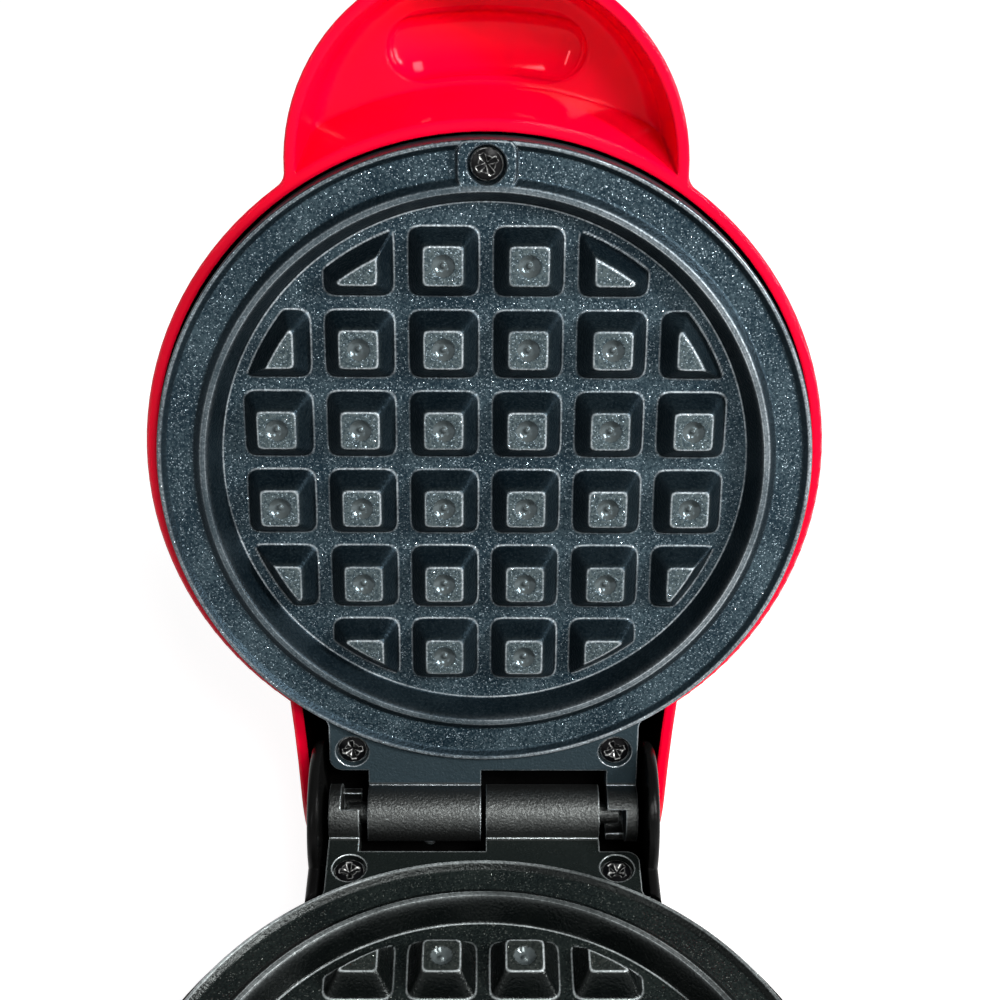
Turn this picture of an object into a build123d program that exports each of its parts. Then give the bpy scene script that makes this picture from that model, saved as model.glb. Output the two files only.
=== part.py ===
from build123d import *
from math import asin, atan2, cos, degrees, hypot, radians, sin, sqrt, tan
import os

os.makedirs("parts", exist_ok=True)

# Mini waffle maker, standing open as it does with its lid leaning on the back stop.
# World frame: X along the hinge, the user stands at -Y, Z up, origin on the table in
# the middle of the open appliance. Every piece is drawn in the frame of its own half,
# the plate frame: origin at the middle of the mould on the floor of the waffle pattern,
# +Y away from the hinge, +Z out of the cooking face.

# Opening angle between the two cooking faces
open_angle = 106.5

# Waffle plate casting, from the middle of the mould outwards
mould_floor_radius = 48.2
mould_wall_run = 2.2
ridge_width = 1.1
ridge_height = 5.05
channel_slope_run = 1.5
channel_width = 4.6
channel_height = 3.8
lip_slope_run = 1.0
lip_width = 0.7
lip_height = 4.85
floor_thickness = 2.6
skirt_depth = 3.0
skirt_wall = 1.8

# Studs that press the pockets into the waffle
stud_rows = 6
stud_pitch = 15.0
stud_base = 12.34
stud_top = 7.15
stud_height = 4.44
stud_corner_radius = 0.7
stud_field_gap = 2.2
stud_field_run = 2.6
dimple_diameter = 3.4
dimple_depth = 0.7
pip_diameter = 1.2
pip_height = 0.45

# Hinge, cast in one piece with each plate
hinge_setback = 11.5
hinge_rise = 5.2
knuckle_radius = 5.5
knuckle_length = 21.9
knuckle_gap = 1.0
pin_diameter = 4.4
pin_length = 4.1
pin_draft = 4.0
pin_tip_radius = 1.0
pin_fit = 0.05
bracket_inner = 24.0
bracket_wall = 2.3
bracket_play = 1.8
bracket_mouth = 1.3
bracket_lip_rise = 1.0
tab_half_width = 29.9
tab_edge_gap = 3.2
tab_level = 3.9
tab_thickness = 4.2
tab_corner_radius = 2.4
tab_flare_radius = 3.0

# Screws that hold each plate down on three posts of its shell
rear_screw_setback = 12.8
rear_screw_spread = 25.5
plate_screw_head = 4.8
plate_screw_head_height = 1.5
plate_screw_shank = 2.8
plate_screw_length = 14.0
plate_screw_sink = 0.3
screw_recess_diameter = 6.5
screw_boss_width = 10.2
screw_boss_overlap = 1.1
screw_boss_corner = 3.0
screw_lug_radius = 3.8
post_radius = 3.6
hole_clearance = 0.2
pilot_clearance = 0.03

# Shells
shell_wall = 2.1
rim_gap = 0.7
lid_depth = 30.0
lid_crown = 2.6
lid_draft = 3.0
lid_shoulder = 13.0
base_depth = 27.8
base_draft = 4.0
base_edge_radius = 6.0
base_heel_radius = 4.5
base_floor = 3.0
foot_height = 3.0

# Rear neck of both shells, with the ears of the base inside the cheeks of the lid
base_neck_half_width = 33.3
ear_radius = 14.0
neck_edge_radius = 1.4
neck_floor_rise = 0.6
rear_wall_rise = 5.0
neck_side_rise = 5.0
cheek_clearance = 0.4
lid_neck_flare = 2.8
lid_neck_length = 15.2
lid_neck_straight = 6.0
lid_neck_bulge = 0.5
lid_neck_depth = 24.0
lid_neck_waist = 40.0
lid_neck_round = 17.0
lid_neck_top_radius = 6.0
lid_neck_side_radius = 3.0
stop_gap = 0.3
well_depth = 13.0
well_wall_setback = 8.4
web_thickness = 2.0

# Handle cup on the front of the lid
handle_radius = 35.1
handle_inset = 8.3
handle_depth = 18.9
handle_shoulder = 5.0
handle_draft = 5.0
handle_corner_radius = 3.0
rim_edge_radius = 0.5
cup_floor = 2.7
cup_wall_lean = 14.0
cup_foot_radius = 2.4
thumb_dish_width = 35.6
thumb_dish_height = 10.8
thumb_dish_offset = 19.5
thumb_dish_depth = 1.5
thumb_dish_edge_radius = 1.2

# Heating element, seated in a cast groove under each plate
element_ring_radius = 33.0
element_diameter = 6.4
element_arc = 300.0
element_fit = 0.05
groove_wall = 2.4
seal_diameter = 5.8
seal_length = 5.0
terminal_width = 4.0
terminal_thickness = 0.8
terminal_length = 6.5

# Straps that hold the element in its groove
strap_count = 3
strap_width = 7.0
strap_thickness = 1.0
strap_post_reach = 24.0
strap_post_radius = 3.2
strap_overhang = 3.6

# Pressed heat shield between each plate and its shell
shield_post_gap = 3.4
shield_depth = 13.0
shield_thickness = 0.8
shield_rim_height = 6.0
shield_hole_radius = 13.5
shield_post_reach = 42.0
shield_post_radius = 3.0

# Small screws used inside both halves
small_screw_head = 4.6
small_screw_head_height = 1.6
small_screw_shank = 2.4
small_screw_bite = 5.0

# Thermostat under the lower plate and thermal fuse under the upper plate
sensor_post_spread = 11.0
sensor_post_radius = 2.6
sensor_post_height = 2.4
thermostat_cap_diameter = 12.0
thermostat_body_diameter = 15.6
thermostat_body_height = 9.0
sensor_strip_width = 8.0
sensor_strip_thickness = 0.8
fuse_diameter = 4.0
fuse_length = 13.0
fuse_lead_diameter = 1.0
fuse_lead_length = 4.0

# Indicator light in the lid
lens_reach = 30.0
lens_diameter = 7.0
lens_flange = 9.6
lens_flange_thickness = 1.0
lens_proud = 0.6
lamp_drop = 4.0
lamp_diameter = 5.0
lamp_length = 6.0
lamp_holder_wall = 1.2
lamp_holder_gap = 0.15

# Cord entry and terminals under the hinge well
gland_bore = 5.8
gland_body_diameter = 8.8
gland_flange_diameter = 11.6
gland_flange_thickness = 1.8
gland_collar_diameter = 10.2
gland_collar_thickness = 1.2
gland_height = 11.6
gland_boss_radius = 7.6
gland_boss_depth = 2.3
gland_fit = 0.1
clamp_setback = 8.8
clamp_half_span = 8.5
clamp_width = 6.0
clamp_thickness = 3.0
clamp_post_radius = 3.0
terminal_block_length = 22.0
terminal_block_width = 10.0
terminal_block_height = 8.0
terminal_block_setback = 32.8
block_pad_height = 1.5
block_screw_spread = 7.0
block_wire_pitch = 7.0
block_wire_hole = 3.2

# Bottom cover, feet and vents
cover_radius = 42.6
cover_fit = 0.3
cover_thickness = 1.6
cover_ledge = 6.6
cover_screw_count = 4
cover_boss_height = 6.0
cover_boss_radius = 3.2
vent_count = 7
vent_width = 2.6
vent_pitch = 7.0
vent_radius = 27.0
foot_diameter = 9.0
foot_fit = 0.2
foot_edge = 0.8
foot_seat = 1.0
front_foot_margin = 0.7
rear_foot_setback = 12.8
rear_foot_spread = 22.0

# Sizes that follow from the ones above
ridge_inner_radius = mould_floor_radius + mould_wall_run
ridge_outer_radius = ridge_inner_radius + ridge_width
channel_inner_radius = ridge_outer_radius + channel_slope_run
channel_outer_radius = channel_inner_radius + channel_width
lip_inner_radius = channel_outer_radius + lip_slope_run
plate_radius = lip_inner_radius + lip_width
shell_radius = plate_radius + rim_gap + shell_wall
stud_field_base_radius = mould_floor_radius - stud_field_gap
stud_field_top_radius = stud_field_base_radius - stud_field_run
hinge_reach = plate_radius + hinge_setback
front_screw_reach = (ridge_outer_radius + lip_inner_radius) / 2
rear_screw_reach = hinge_reach - rear_screw_setback
handle_reach = shell_radius - handle_inset
thumb_dish_reach = handle_reach + thumb_dish_offset
shield_radius = front_screw_reach - post_radius - shield_post_gap
front_screw_seat = lip_height - plate_screw_sink - plate_screw_head_height
rear_screw_seat = tab_level - plate_screw_sink - plate_screw_head_height
element_level = -floor_thickness - element_diameter / 2
strap_level = element_level - element_diameter / 2
lid_neck_half_end = base_neck_half_width + cheek_clearance + shell_wall
lid_neck_half_root = lid_neck_half_end + lid_neck_flare
neck_inner = base_neck_half_width - shell_wall
parting_height = foot_height + base_depth + hinge_rise

# Frames of the two halves
opening = radians(open_angle)
lower_frame = Plane(origin=(0, 0, parting_height - hinge_rise), x_dir=(-1, 0, 0), z_dir=(0, 0, 1))
upper_frame = Plane(
    origin=(
        0,
        hinge_reach - hinge_reach * cos(opening) + hinge_rise * sin(opening),
        parting_height + hinge_reach * sin(opening) + hinge_rise * cos(opening),
    ),
    x_dir=(1, 0, 0),
    z_dir=(0, -sin(opening), -cos(opening)),
)
halves = (("lower", lower_frame), ("upper", upper_frame))
plate_screw_places = [
    (0, front_screw_reach),
    (-rear_screw_spread, -rear_screw_reach),
    (rear_screw_spread, -rear_screw_reach),
]
plate_screw_seats = (front_screw_seat, rear_screw_seat, rear_screw_seat)
plate_screw_tops = (lip_height, tab_level, tab_level)
pilot_depth = plate_screw_length - rear_screw_seat - skirt_depth + 0.5
hinge_line = Plane(origin=(0, -hinge_reach, hinge_rise), x_dir=(0, 1, 0), z_dir=(1, 0, 0))


def radial_plane(angle):
    """Upright plane through the plate's axis, its X pointing out at this angle."""
    turn = radians(angle)
    return Plane(origin=(0, 0, 0), x_dir=(cos(turn), sin(turn), 0), z_dir=(sin(turn), -cos(turn), 0))


def ring_places(count, reach, first=90.0):
    """Evenly spaced points on a circle round the plate's axis."""
    turns = [radians(first + 360.0 * step / count) for step in range(count)]
    return [(reach * cos(turn), reach * sin(turn)) for turn in turns]


def screw(head, head_height, shank, length, cross=0.0):
    """Screw with the seat of its head at the origin and its shank down -Z."""
    with BuildPart() as body:
        with BuildSketch():
            Circle(shank / 2)
        extrude(amount=-length)
        with BuildSketch():
            Circle(head / 2)
        extrude(amount=head_height)
        chamfer(body.faces().sort_by(Axis.Z)[-1].edges(), 0.2 * head_height)
        if cross > 0:
            with BuildSketch(Plane.XY.offset(head_height)):
                Rectangle(cross, 0.28 * cross)
                Rectangle(0.28 * cross, cross)
            extrude(amount=-0.6 * head_height, mode=Mode.SUBTRACT)
    return body.part


def drum(radius, height, draft, shoulder, crown):
    """Rounded drum that hangs down -Z from its open mouth at Z = 0."""
    side = height - crown
    corner = (radius - side * tan(radians(draft)), -side)
    with BuildPart() as body:
        with BuildSketch(Plane.XZ) as section:
            with BuildLine():
                Line((0, 0), (radius, 0))
                Line((radius, 0), corner)
                if crown > 0:
                    TangentArc((0, -height), corner, tangent=(1, 0))
                else:
                    Line(corner, (0, -height))
                Line((0, -height), (0, 0))
            make_face()
            fillet(section.vertices().sort_by_distance((corner[0], corner[1], 0))[0], shoulder)
        revolve(axis=Axis.Z)
    return body.part


def lid_neck(inset):
    """Neck at the back of the lid, drawn in by inset for the hollow inside it."""
    end = -hinge_reach - lid_neck_length + inset
    roof = -lid_neck_depth + inset
    top_radius = lid_neck_top_radius - inset
    start = -lid_neck_waist
    straight = end + lid_neck_straight
    half_end = lid_neck_half_end - inset
    half_root = lid_neck_half_root - inset
    mouth = inset
    with BuildPart() as body:
        with BuildSketch(Plane.YZ) as side:
            Polygon((start, mouth), (end, mouth), (end, roof), (start, roof), align=None)
            fillet(side.vertices().sort_by_distance((end, roof, 0))[0], top_radius)
        extrude(amount=2 * lid_neck_half_root, both=True)
        with BuildSketch(Plane.XY.offset(mouth)):
            with BuildLine():
                SagittaArc((half_root, start), (half_end, straight), -lid_neck_bulge)
                Polyline((half_end, straight), (half_end, end), (-half_end, end), (-half_end, straight))
                SagittaArc((-half_end, straight), (-half_root, start), -lid_neck_bulge)
                Line((-half_root, start), (half_root, start))
            make_face()
        extrude(amount=roof - mouth, mode=Mode.INTERSECT)
        rear_sides = body.edges().filter_by(
            lambda edge: abs(edge.center().X) > half_end - 1
            and (edge.center().Z < roof + top_radius or edge.center().Y < end + 0.1)
            and edge.center().Y < start - 0.1
            and edge.center().Z < mouth - 0.1
        )
        fillet(rear_sides, lid_neck_side_radius - inset)
        with BuildSketch(Plane.YZ) as outline:
            Polygon((start, mouth), (end, mouth), (end, roof), (start, roof), align=None)
            fillet(outline.vertices().sort_by_distance((end, mouth, 0))[0], lid_neck_round)
        extrude(amount=2 * lid_neck_half_root, both=True, mode=Mode.INTERSECT)
    return body.part


# Outer form of the lid: a dome with the handle in front and the neck behind
with BuildPart() as lid_form:
    add(drum(shell_radius, lid_depth, lid_draft, lid_shoulder, lid_crown))
    with Locations((0, handle_reach, 0)):
        add(drum(handle_radius, handle_depth, handle_draft, handle_shoulder, 0.0))
    corners = lid_form.edges().filter_by(
        lambda edge: handle_radius / 2 < abs(edge.center().X)
        and shell_radius / 2 < edge.center().Y < shell_radius
        and -handle_depth < edge.center().Z < -1.0
    )
    fillet(corners, handle_corner_radius)
    mouth = lid_form.faces().sort_by(Axis.Z)[-1]
    fillet(mouth.edges(), rim_edge_radius)
    add(lid_neck(0.0))

# The middle of the footprint, which the lid sets by how far it leans back
lean_back = upper_frame.from_local_coords(lid_form.part).bounding_box().max.Y
stand = Location((0, (shell_radius - lean_back) / 2, 0))


def finish(piece, name, frame):
    """Set a piece in the frame of its half, name it and write it."""
    placed = frame.from_local_coords(piece).moved(stand)
    placed.label = name
    export_step(placed, f"parts/{name}.step")


# Waffle plate: one aluminium casting, used for both halves
with BuildPart() as plate:
    with BuildSketch(Plane.XZ):
        with BuildLine():
            Polyline(
                (0, 0),
                (mould_floor_radius, 0),
                (ridge_inner_radius, ridge_height),
                (ridge_outer_radius, ridge_height),
                (channel_inner_radius, channel_height),
                (channel_outer_radius, channel_height),
                (lip_inner_radius, lip_height),
                (plate_radius, lip_height),
                (plate_radius, -skirt_depth),
                (plate_radius - skirt_wall, -skirt_depth),
                (plate_radius - skirt_wall, channel_height - floor_thickness),
                (ridge_outer_radius, channel_height - floor_thickness),
                (mould_floor_radius, -floor_thickness),
                (0, -floor_thickness),
                close=True,
            )
        make_face()
    revolve(axis=Axis.Z)

    # Hinge tab, a little below the lip, with a notch that clears the other plate's knuckle
    tab_edge = hinge_reach - knuckle_radius - tab_edge_gap
    tab_bottom = tab_level - tab_thickness
    tab_root = sqrt(plate_radius**2 - tab_half_width**2)
    with BuildSketch(Plane.XY.offset(tab_bottom)) as tab:
        Circle(plate_radius)
        with Locations((0, -tab_edge / 2)):
            Rectangle(2 * tab_half_width, tab_edge)
        flares = [
            tab.vertices().sort_by_distance((side * tab_half_width, -tab_root, 0))[0] for side in (-1, 1)
        ]
        fillet(flares, tab_flare_radius)
        fillet(tab.vertices().sort_by_distance((-tab_half_width, -tab_edge, 0))[0], tab_corner_radius)
        Circle(plate_radius - skirt_wall, mode=Mode.SUBTRACT)
    extrude(amount=tab_thickness)
    with BuildSketch(Plane.XY.offset(tab_bottom)):
        with Locations((-knuckle_gap / 2 - knuckle_length / 2, -(hinge_reach + tab_edge) / 2)):
            Rectangle(knuckle_length, hinge_reach - tab_edge + 0.02)
        with Locations(((bracket_inner + tab_half_width) / 2, -(hinge_reach + tab_edge) / 2)):
            Rectangle(tab_half_width - bracket_inner, hinge_reach - tab_edge + 0.02)
    extrude(amount=tab_thickness)

    # Knuckle with its stub pin, and the half-open bracket for the other plate's pin
    knuckle_end = knuckle_gap / 2 + knuckle_length
    with BuildSketch(hinge_line.offset(-knuckle_end)):
        Circle(knuckle_radius)
    extrude(amount=knuckle_length)
    with BuildSketch(hinge_line.offset(bracket_inner)):
        Circle(knuckle_radius)
    extrude(amount=tab_half_width - bracket_inner)
    seat_length = tab_half_width - bracket_inner - bracket_wall
    seat_radius = pin_diameter / 2 + pin_fit
    with BuildSketch(hinge_line.offset(bracket_inner)):
        Circle(seat_radius)
        with Locations((-bracket_play, 0)):
            Circle(seat_radius)
        Polygon(
            (seat_radius, 0), (seat_radius + bracket_mouth, knuckle_radius + 0.1),
            (-2 * knuckle_radius, knuckle_radius + 0.1), (-2 * knuckle_radius, bracket_lip_rise),
            (-bracket_play - seat_radius, bracket_lip_rise), (-bracket_play - seat_radius, 0),
            (-bracket_play, -seat_radius), (0, -seat_radius),
            align=None,
        )
    extrude(amount=seat_length, mode=Mode.SUBTRACT)
    with BuildSketch(hinge_line.offset(-knuckle_end)):
        Circle(pin_diameter / 2)
    extrude(amount=-pin_length, taper=pin_draft)
    fillet(plate.edges().filter_by(GeomType.CIRCLE).sort_by(Axis.X)[0], pin_tip_radius)

    # Screw boss across the channel, and a lug under each of the three screws
    with BuildSketch(Plane.XY.offset(channel_height - floor_thickness)):
        with Locations((0, front_screw_reach)):
            RectangleRounded(
                screw_boss_width,
                lip_inner_radius - ridge_outer_radius + 2 * screw_boss_overlap,
                screw_boss_corner,
            )
        Circle(ridge_outer_radius - ridge_width / 2, mode=Mode.SUBTRACT)
        Circle(lip_inner_radius + lip_width / 2, mode=Mode.INTERSECT)
    extrude(amount=lip_height - channel_height + floor_thickness)
    for place, seat, top in zip(plate_screw_places, plate_screw_seats, plate_screw_tops):
        with BuildSketch(Plane.XY.offset(-skirt_depth)):
            with Locations(place):
                Circle(screw_lug_radius)
        extrude(amount=skirt_depth + top - floor_thickness / 2)
        with BuildSketch(Plane.XY.offset(seat)):
            with Locations(place):
                Circle(screw_recess_diameter / 2)
        extrude(amount=ridge_height, mode=Mode.SUBTRACT)
        with BuildSketch(Plane.XY.offset(seat)):
            with Locations(place):
                Circle(plate_screw_shank / 2 + hole_clearance)
        extrude(amount=-seat - skirt_depth, mode=Mode.SUBTRACT)

    # Groove for the heating element, open over the gap where its ends come out
    groove_half = element_diameter / 2 + groove_wall
    with BuildSketch(radial_plane(90 - element_arc / 2)):
        with Locations((element_ring_radius, (element_level - floor_thickness) / 2)):
            Rectangle(2 * groove_half, -element_level - floor_thickness)
    revolve(axis=Axis.Z, revolution_arc=element_arc)
    with BuildSketch(Plane.XZ):
        with Locations((element_ring_radius, element_level)):
            Circle(element_diameter / 2 + element_fit)
    revolve(axis=Axis.Z, mode=Mode.SUBTRACT)

    # Cast posts for the element straps, the heat shield and the sensor strip
    strap_places = ring_places(strap_count, strap_post_reach)
    shield_places = ring_places(strap_count, shield_post_reach, first=30.0)
    sensor_places = [(-sensor_post_spread, 0), (sensor_post_spread, 0)]
    for places, post, foot in (
        (strap_places, strap_post_radius, strap_level),
        (shield_places, shield_post_radius, -shield_depth),
        (sensor_places, sensor_post_radius, -floor_thickness - sensor_post_height),
    ):
        with BuildSketch(Plane.XY.offset(-floor_thickness)):
            with Locations(*places):
                Circle(post)
        extrude(amount=foot + floor_thickness)
        with BuildSketch(Plane.XY.offset(foot)):
            with Locations(*places):
                Circle(small_screw_shank / 2 + pilot_clearance)
        extrude(amount=min(small_screw_bite + 0.5, -foot - 0.4), mode=Mode.SUBTRACT)

    # Studs in a square grid, trimmed to a round field
    sites = [site.position for site in GridLocations(stud_pitch, stud_pitch, stud_rows, stud_rows).locations]
    field = [(site.X, site.Y) for site in sites if hypot(site.X, site.Y) < stud_field_base_radius]

with BuildPart() as stud:
    with BuildSketch():
        RectangleRounded(stud_base, stud_base, stud_corner_radius)
    extrude(amount=stud_height, taper=degrees(atan2((stud_base - stud_top) / 2, stud_height)))

with BuildPart() as stud_bed:
    with Locations(*[(x, y, 0) for x, y in field]):
        add(stud.part)
    with BuildSketch(Plane.XZ):
        Polygon(
            (0, 0),
            (stud_field_base_radius, 0),
            (stud_field_top_radius, stud_height),
            (0, stud_height),
            align=None,
        )
    revolve(axis=Axis.Z, mode=Mode.INTERSECT)
    dimples = [(x, y) for x, y in field if hypot(x, y) + dimple_diameter < stud_field_top_radius]
    with BuildSketch(Plane.XY.offset(stud_height)):
        with Locations(*dimples):
            Circle(dimple_diameter / 2)
    extrude(amount=-dimple_depth, taper=35, mode=Mode.SUBTRACT)
    with BuildSketch(Plane.XY.offset(stud_height - dimple_depth)):
        with Locations(*dimples):
            Circle(pip_diameter / 2)
    extrude(amount=pip_height, taper=15)

with BuildPart() as waffle_plate:
    add(plate.part)
    add(stud_bed.part)
for side, frame in halves:
    finish(waffle_plate.part, f"{side}_plate", frame)

# Plate screws: black cross-head screws, three to a plate
with BuildPart() as plate_screws:
    with Locations(*[(x, y, seat) for (x, y), seat in zip(plate_screw_places, plate_screw_seats)]):
        add(screw(
            plate_screw_head,
            plate_screw_head_height,
            plate_screw_shank,
            plate_screw_length,
            cross=0.66 * plate_screw_head,
        ))
for side, frame in halves:
    finish(plate_screws.part, f"{side}_plate_screws", frame)

# Heating element: a steel tube bent to a ring that stays open towards the hinge
element_start = 90 - element_arc / 2
with BuildPart() as element:
    with BuildSketch(radial_plane(element_start)):
        with Locations((element_ring_radius, element_level)):
            Circle(element_diameter / 2)
    revolve(axis=Axis.Z, revolution_arc=element_arc)
for side, frame in halves:
    finish(element.part, f"{side}_heating_element", frame)

# Ceramic end seals of the element, each with its flat steel terminal
end_planes = []
for turn, way in ((element_start, 1), (element_start + element_arc, -1)):
    angle = radians(turn)
    end_planes.append(Plane(
        origin=(element_ring_radius * cos(angle), element_ring_radius * sin(angle), element_level),
        x_dir=(0, 0, 1),
        z_dir=(way * sin(angle), -way * cos(angle), 0),
    ))
with BuildPart() as seals:
    for end in end_planes:
        with BuildSketch(end):
            Circle(seal_diameter / 2)
        extrude(amount=seal_length)
with BuildPart() as terminals:
    for end in end_planes:
        with BuildSketch(end.offset(seal_length)):
            Rectangle(terminal_width, terminal_thickness)
        extrude(amount=terminal_length)
for side, frame in halves:
    finish(seals.part, f"{side}_element_seals", frame)
    finish(terminals.part, f"{side}_element_terminals", frame)

# Straps across the element, each screwed to a cast post
strap_end = element_ring_radius + element_diameter / 2 + 1.0
with BuildPart() as straps:
    with BuildSketch(Plane.XY.offset(strap_level)):
        with PolarLocations(0, strap_count, start_angle=90):
            with Locations(((strap_post_reach - strap_overhang + strap_end) / 2, 0)):
                RectangleRounded(strap_end - strap_post_reach + strap_overhang, strap_width, 1.5)
    extrude(amount=-strap_thickness)
    with BuildSketch(Plane.XY.offset(strap_level)):
        with Locations(*strap_places):
            Circle(small_screw_shank / 2 + hole_clearance)
    extrude(amount=-strap_thickness, mode=Mode.SUBTRACT)

small_screw = screw(
    small_screw_head,
    small_screw_head_height,
    small_screw_shank,
    small_screw_bite,
)
with BuildPart() as strap_screws:
    with Locations(*[Location((x, y, strap_level - strap_thickness), (180, 0, 0)) for x, y in strap_places]):
        add(small_screw)
for side, frame in halves:
    finish(straps.part, f"{side}_element_straps", frame)
    finish(strap_screws.part, f"{side}_strap_screws", frame)

# Heat shield: a thin pressed dish with a hole round the sensor
shield_foot = -shield_depth - shield_thickness
with BuildPart() as shield:
    with BuildSketch(Plane.XZ):
        Polygon(
            (shield_hole_radius, -shield_depth),
            (shield_radius - shield_thickness, -shield_depth),
            (shield_radius - shield_thickness, -shield_depth + shield_rim_height),
            (shield_radius, -shield_depth + shield_rim_height),
            (shield_radius, shield_foot),
            (shield_hole_radius, shield_foot),
            align=None,
        )
    revolve(axis=Axis.Z)
    with BuildSketch(Plane.XY.offset(-shield_depth)):
        with Locations(*shield_places):
            Circle(small_screw_shank / 2 + hole_clearance)
    extrude(amount=-shield_thickness, mode=Mode.SUBTRACT)
with BuildPart() as shield_screws:
    with Locations(*[Location((x, y, shield_foot), (180, 0, 0)) for x, y in shield_places]):
        add(small_screw)
for side, frame in halves:
    finish(shield.part, f"{side}_heat_shield", frame)
    finish(shield_screws.part, f"{side}_shield_screws", frame)

# Thermostat: bimetal disc switch pressed to the middle of the lower plate
sensor_seat = -floor_thickness - sensor_post_height
strip_length = 2 * (sensor_post_spread + sensor_post_radius)
body_foot = sensor_seat - sensor_strip_thickness - thermostat_body_height
with BuildPart() as thermostat:
    with BuildSketch(Plane.XY.offset(-floor_thickness)):
        Circle(thermostat_cap_diameter / 2)
    extrude(amount=-sensor_post_height)
    with BuildSketch(Plane.XY.offset(sensor_seat)):
        RectangleRounded(strip_length, sensor_strip_width, 2.0)
    extrude(amount=-sensor_strip_thickness)
    with BuildSketch(Plane.XY.offset(sensor_seat - sensor_strip_thickness)):
        Circle(thermostat_body_diameter / 2)
    extrude(amount=-thermostat_body_height)
    with BuildSketch(Plane.XY.offset(body_foot)):
        with GridLocations(thermostat_body_diameter / 2, 0, 2, 1):
            Rectangle(terminal_thickness, terminal_width)
    extrude(amount=-terminal_length / 2)
    with BuildSketch(Plane.XY.offset(sensor_seat)):
        with Locations(*sensor_places):
            Circle(small_screw_shank / 2 + hole_clearance)
    extrude(amount=-sensor_strip_thickness, mode=Mode.SUBTRACT)
finish(thermostat.part, "thermostat", lower_frame)
sensor_screw = screw(
    small_screw_head,
    small_screw_head_height,
    small_screw_shank,
    sensor_strip_thickness + sensor_post_height,
)
with BuildPart() as sensor_screws:
    with Locations(*[
        Location((x, y, sensor_seat - sensor_strip_thickness), (180, 0, 0)) for x, y in sensor_places
    ]):
        add(sensor_screw)
finish(sensor_screws.part, "thermostat_screws", lower_frame)
finish(sensor_screws.part, "fuse_clip_screws", upper_frame)

# Thermal fuse under the upper plate, held by an omega-shaped clip
fuse_level = -floor_thickness - fuse_diameter / 2
with BuildPart() as fuse:
    with BuildSketch(Plane.XZ.offset(-fuse_length / 2)):
        with Locations((0, fuse_level)):
            Circle(fuse_diameter / 2)
    extrude(amount=fuse_length)
    with BuildSketch(Plane.XZ.offset(-fuse_length / 2 - fuse_lead_length)):
        with Locations((0, fuse_level)):
            Circle(fuse_lead_diameter / 2)
    extrude(amount=fuse_length + 2 * fuse_lead_length)
finish(fuse.part, "thermal_fuse", upper_frame)
clip_half = fuse_diameter / 2 + 0.1
clip_crest = -floor_thickness - fuse_diameter
with BuildPart() as clip:
    with BuildSketch(Plane.XZ.offset(-sensor_strip_width / 2)) as omega:
        Polygon(
            (-strip_length / 2, sensor_seat),
            (-clip_half, sensor_seat),
            (-clip_half, clip_crest),
            (clip_half, clip_crest),
            (clip_half, sensor_seat),
            (strip_length / 2, sensor_seat),
            (strip_length / 2, sensor_seat - sensor_strip_thickness),
            (clip_half + sensor_strip_thickness, sensor_seat - sensor_strip_thickness),
            (clip_half + sensor_strip_thickness, clip_crest - sensor_strip_thickness),
            (-clip_half - sensor_strip_thickness, clip_crest - sensor_strip_thickness),
            (-clip_half - sensor_strip_thickness, sensor_seat - sensor_strip_thickness),
            (-strip_length / 2, sensor_seat - sensor_strip_thickness),
            align=None,
        )
    extrude(amount=sensor_strip_width)
    with BuildSketch(Plane.XY.offset(sensor_seat)):
        with Locations(*sensor_places):
            Circle(small_screw_shank / 2 + hole_clearance)
    extrude(amount=-sensor_strip_thickness, mode=Mode.SUBTRACT)
finish(clip.part, "fuse_clip", upper_frame)


# Lid shell: one red moulding, hollow behind the plate, with a cup in its handle
with BuildPart() as lid_cup:
    with Locations((0, handle_reach, 0)):
        add(drum(handle_radius - shell_wall, handle_depth - cup_floor, handle_draft, cup_foot_radius, 0.0))
    cup_depth = handle_depth - cup_floor
    cup_foot = shell_radius + cup_depth * tan(radians(cup_wall_lean))
    with BuildSketch(Plane.XZ):
        Polygon((0, 0), (shell_radius, 0), (cup_foot, -cup_depth), (0, -cup_depth), align=None)
    revolve(axis=Axis.Z, mode=Mode.SUBTRACT)
    dish_turn = degrees(asin((thumb_dish_width - thumb_dish_height) / 2 / thumb_dish_reach))
    with BuildSketch(Plane.XY.offset(-cup_depth)):
        dish_line = Edge.make_circle(thumb_dish_reach, start_angle=90 - dish_turn, end_angle=90 + dish_turn)
        SlotArc(dish_line, thumb_dish_height)
    extrude(amount=-thumb_dish_depth)
    fillet(lid_cup.faces().sort_by(Axis.Z)[0].edges(), thumb_dish_edge_radius)

with BuildPart() as lid_posts:
    with BuildSketch(Plane.XY.offset(-skirt_depth)):
        with Locations(*plate_screw_places):
            Circle(post_radius)
    extrude(amount=-lid_depth)
    with BuildSketch(Plane.XY.offset(-lid_depth + lamp_drop)):
        with Locations((0, lens_reach)):
            Circle(lens_flange / 2 + lamp_holder_wall)
    extrude(amount=-lamp_drop)
    add(lid_form.part, mode=Mode.INTERSECT)

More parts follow.
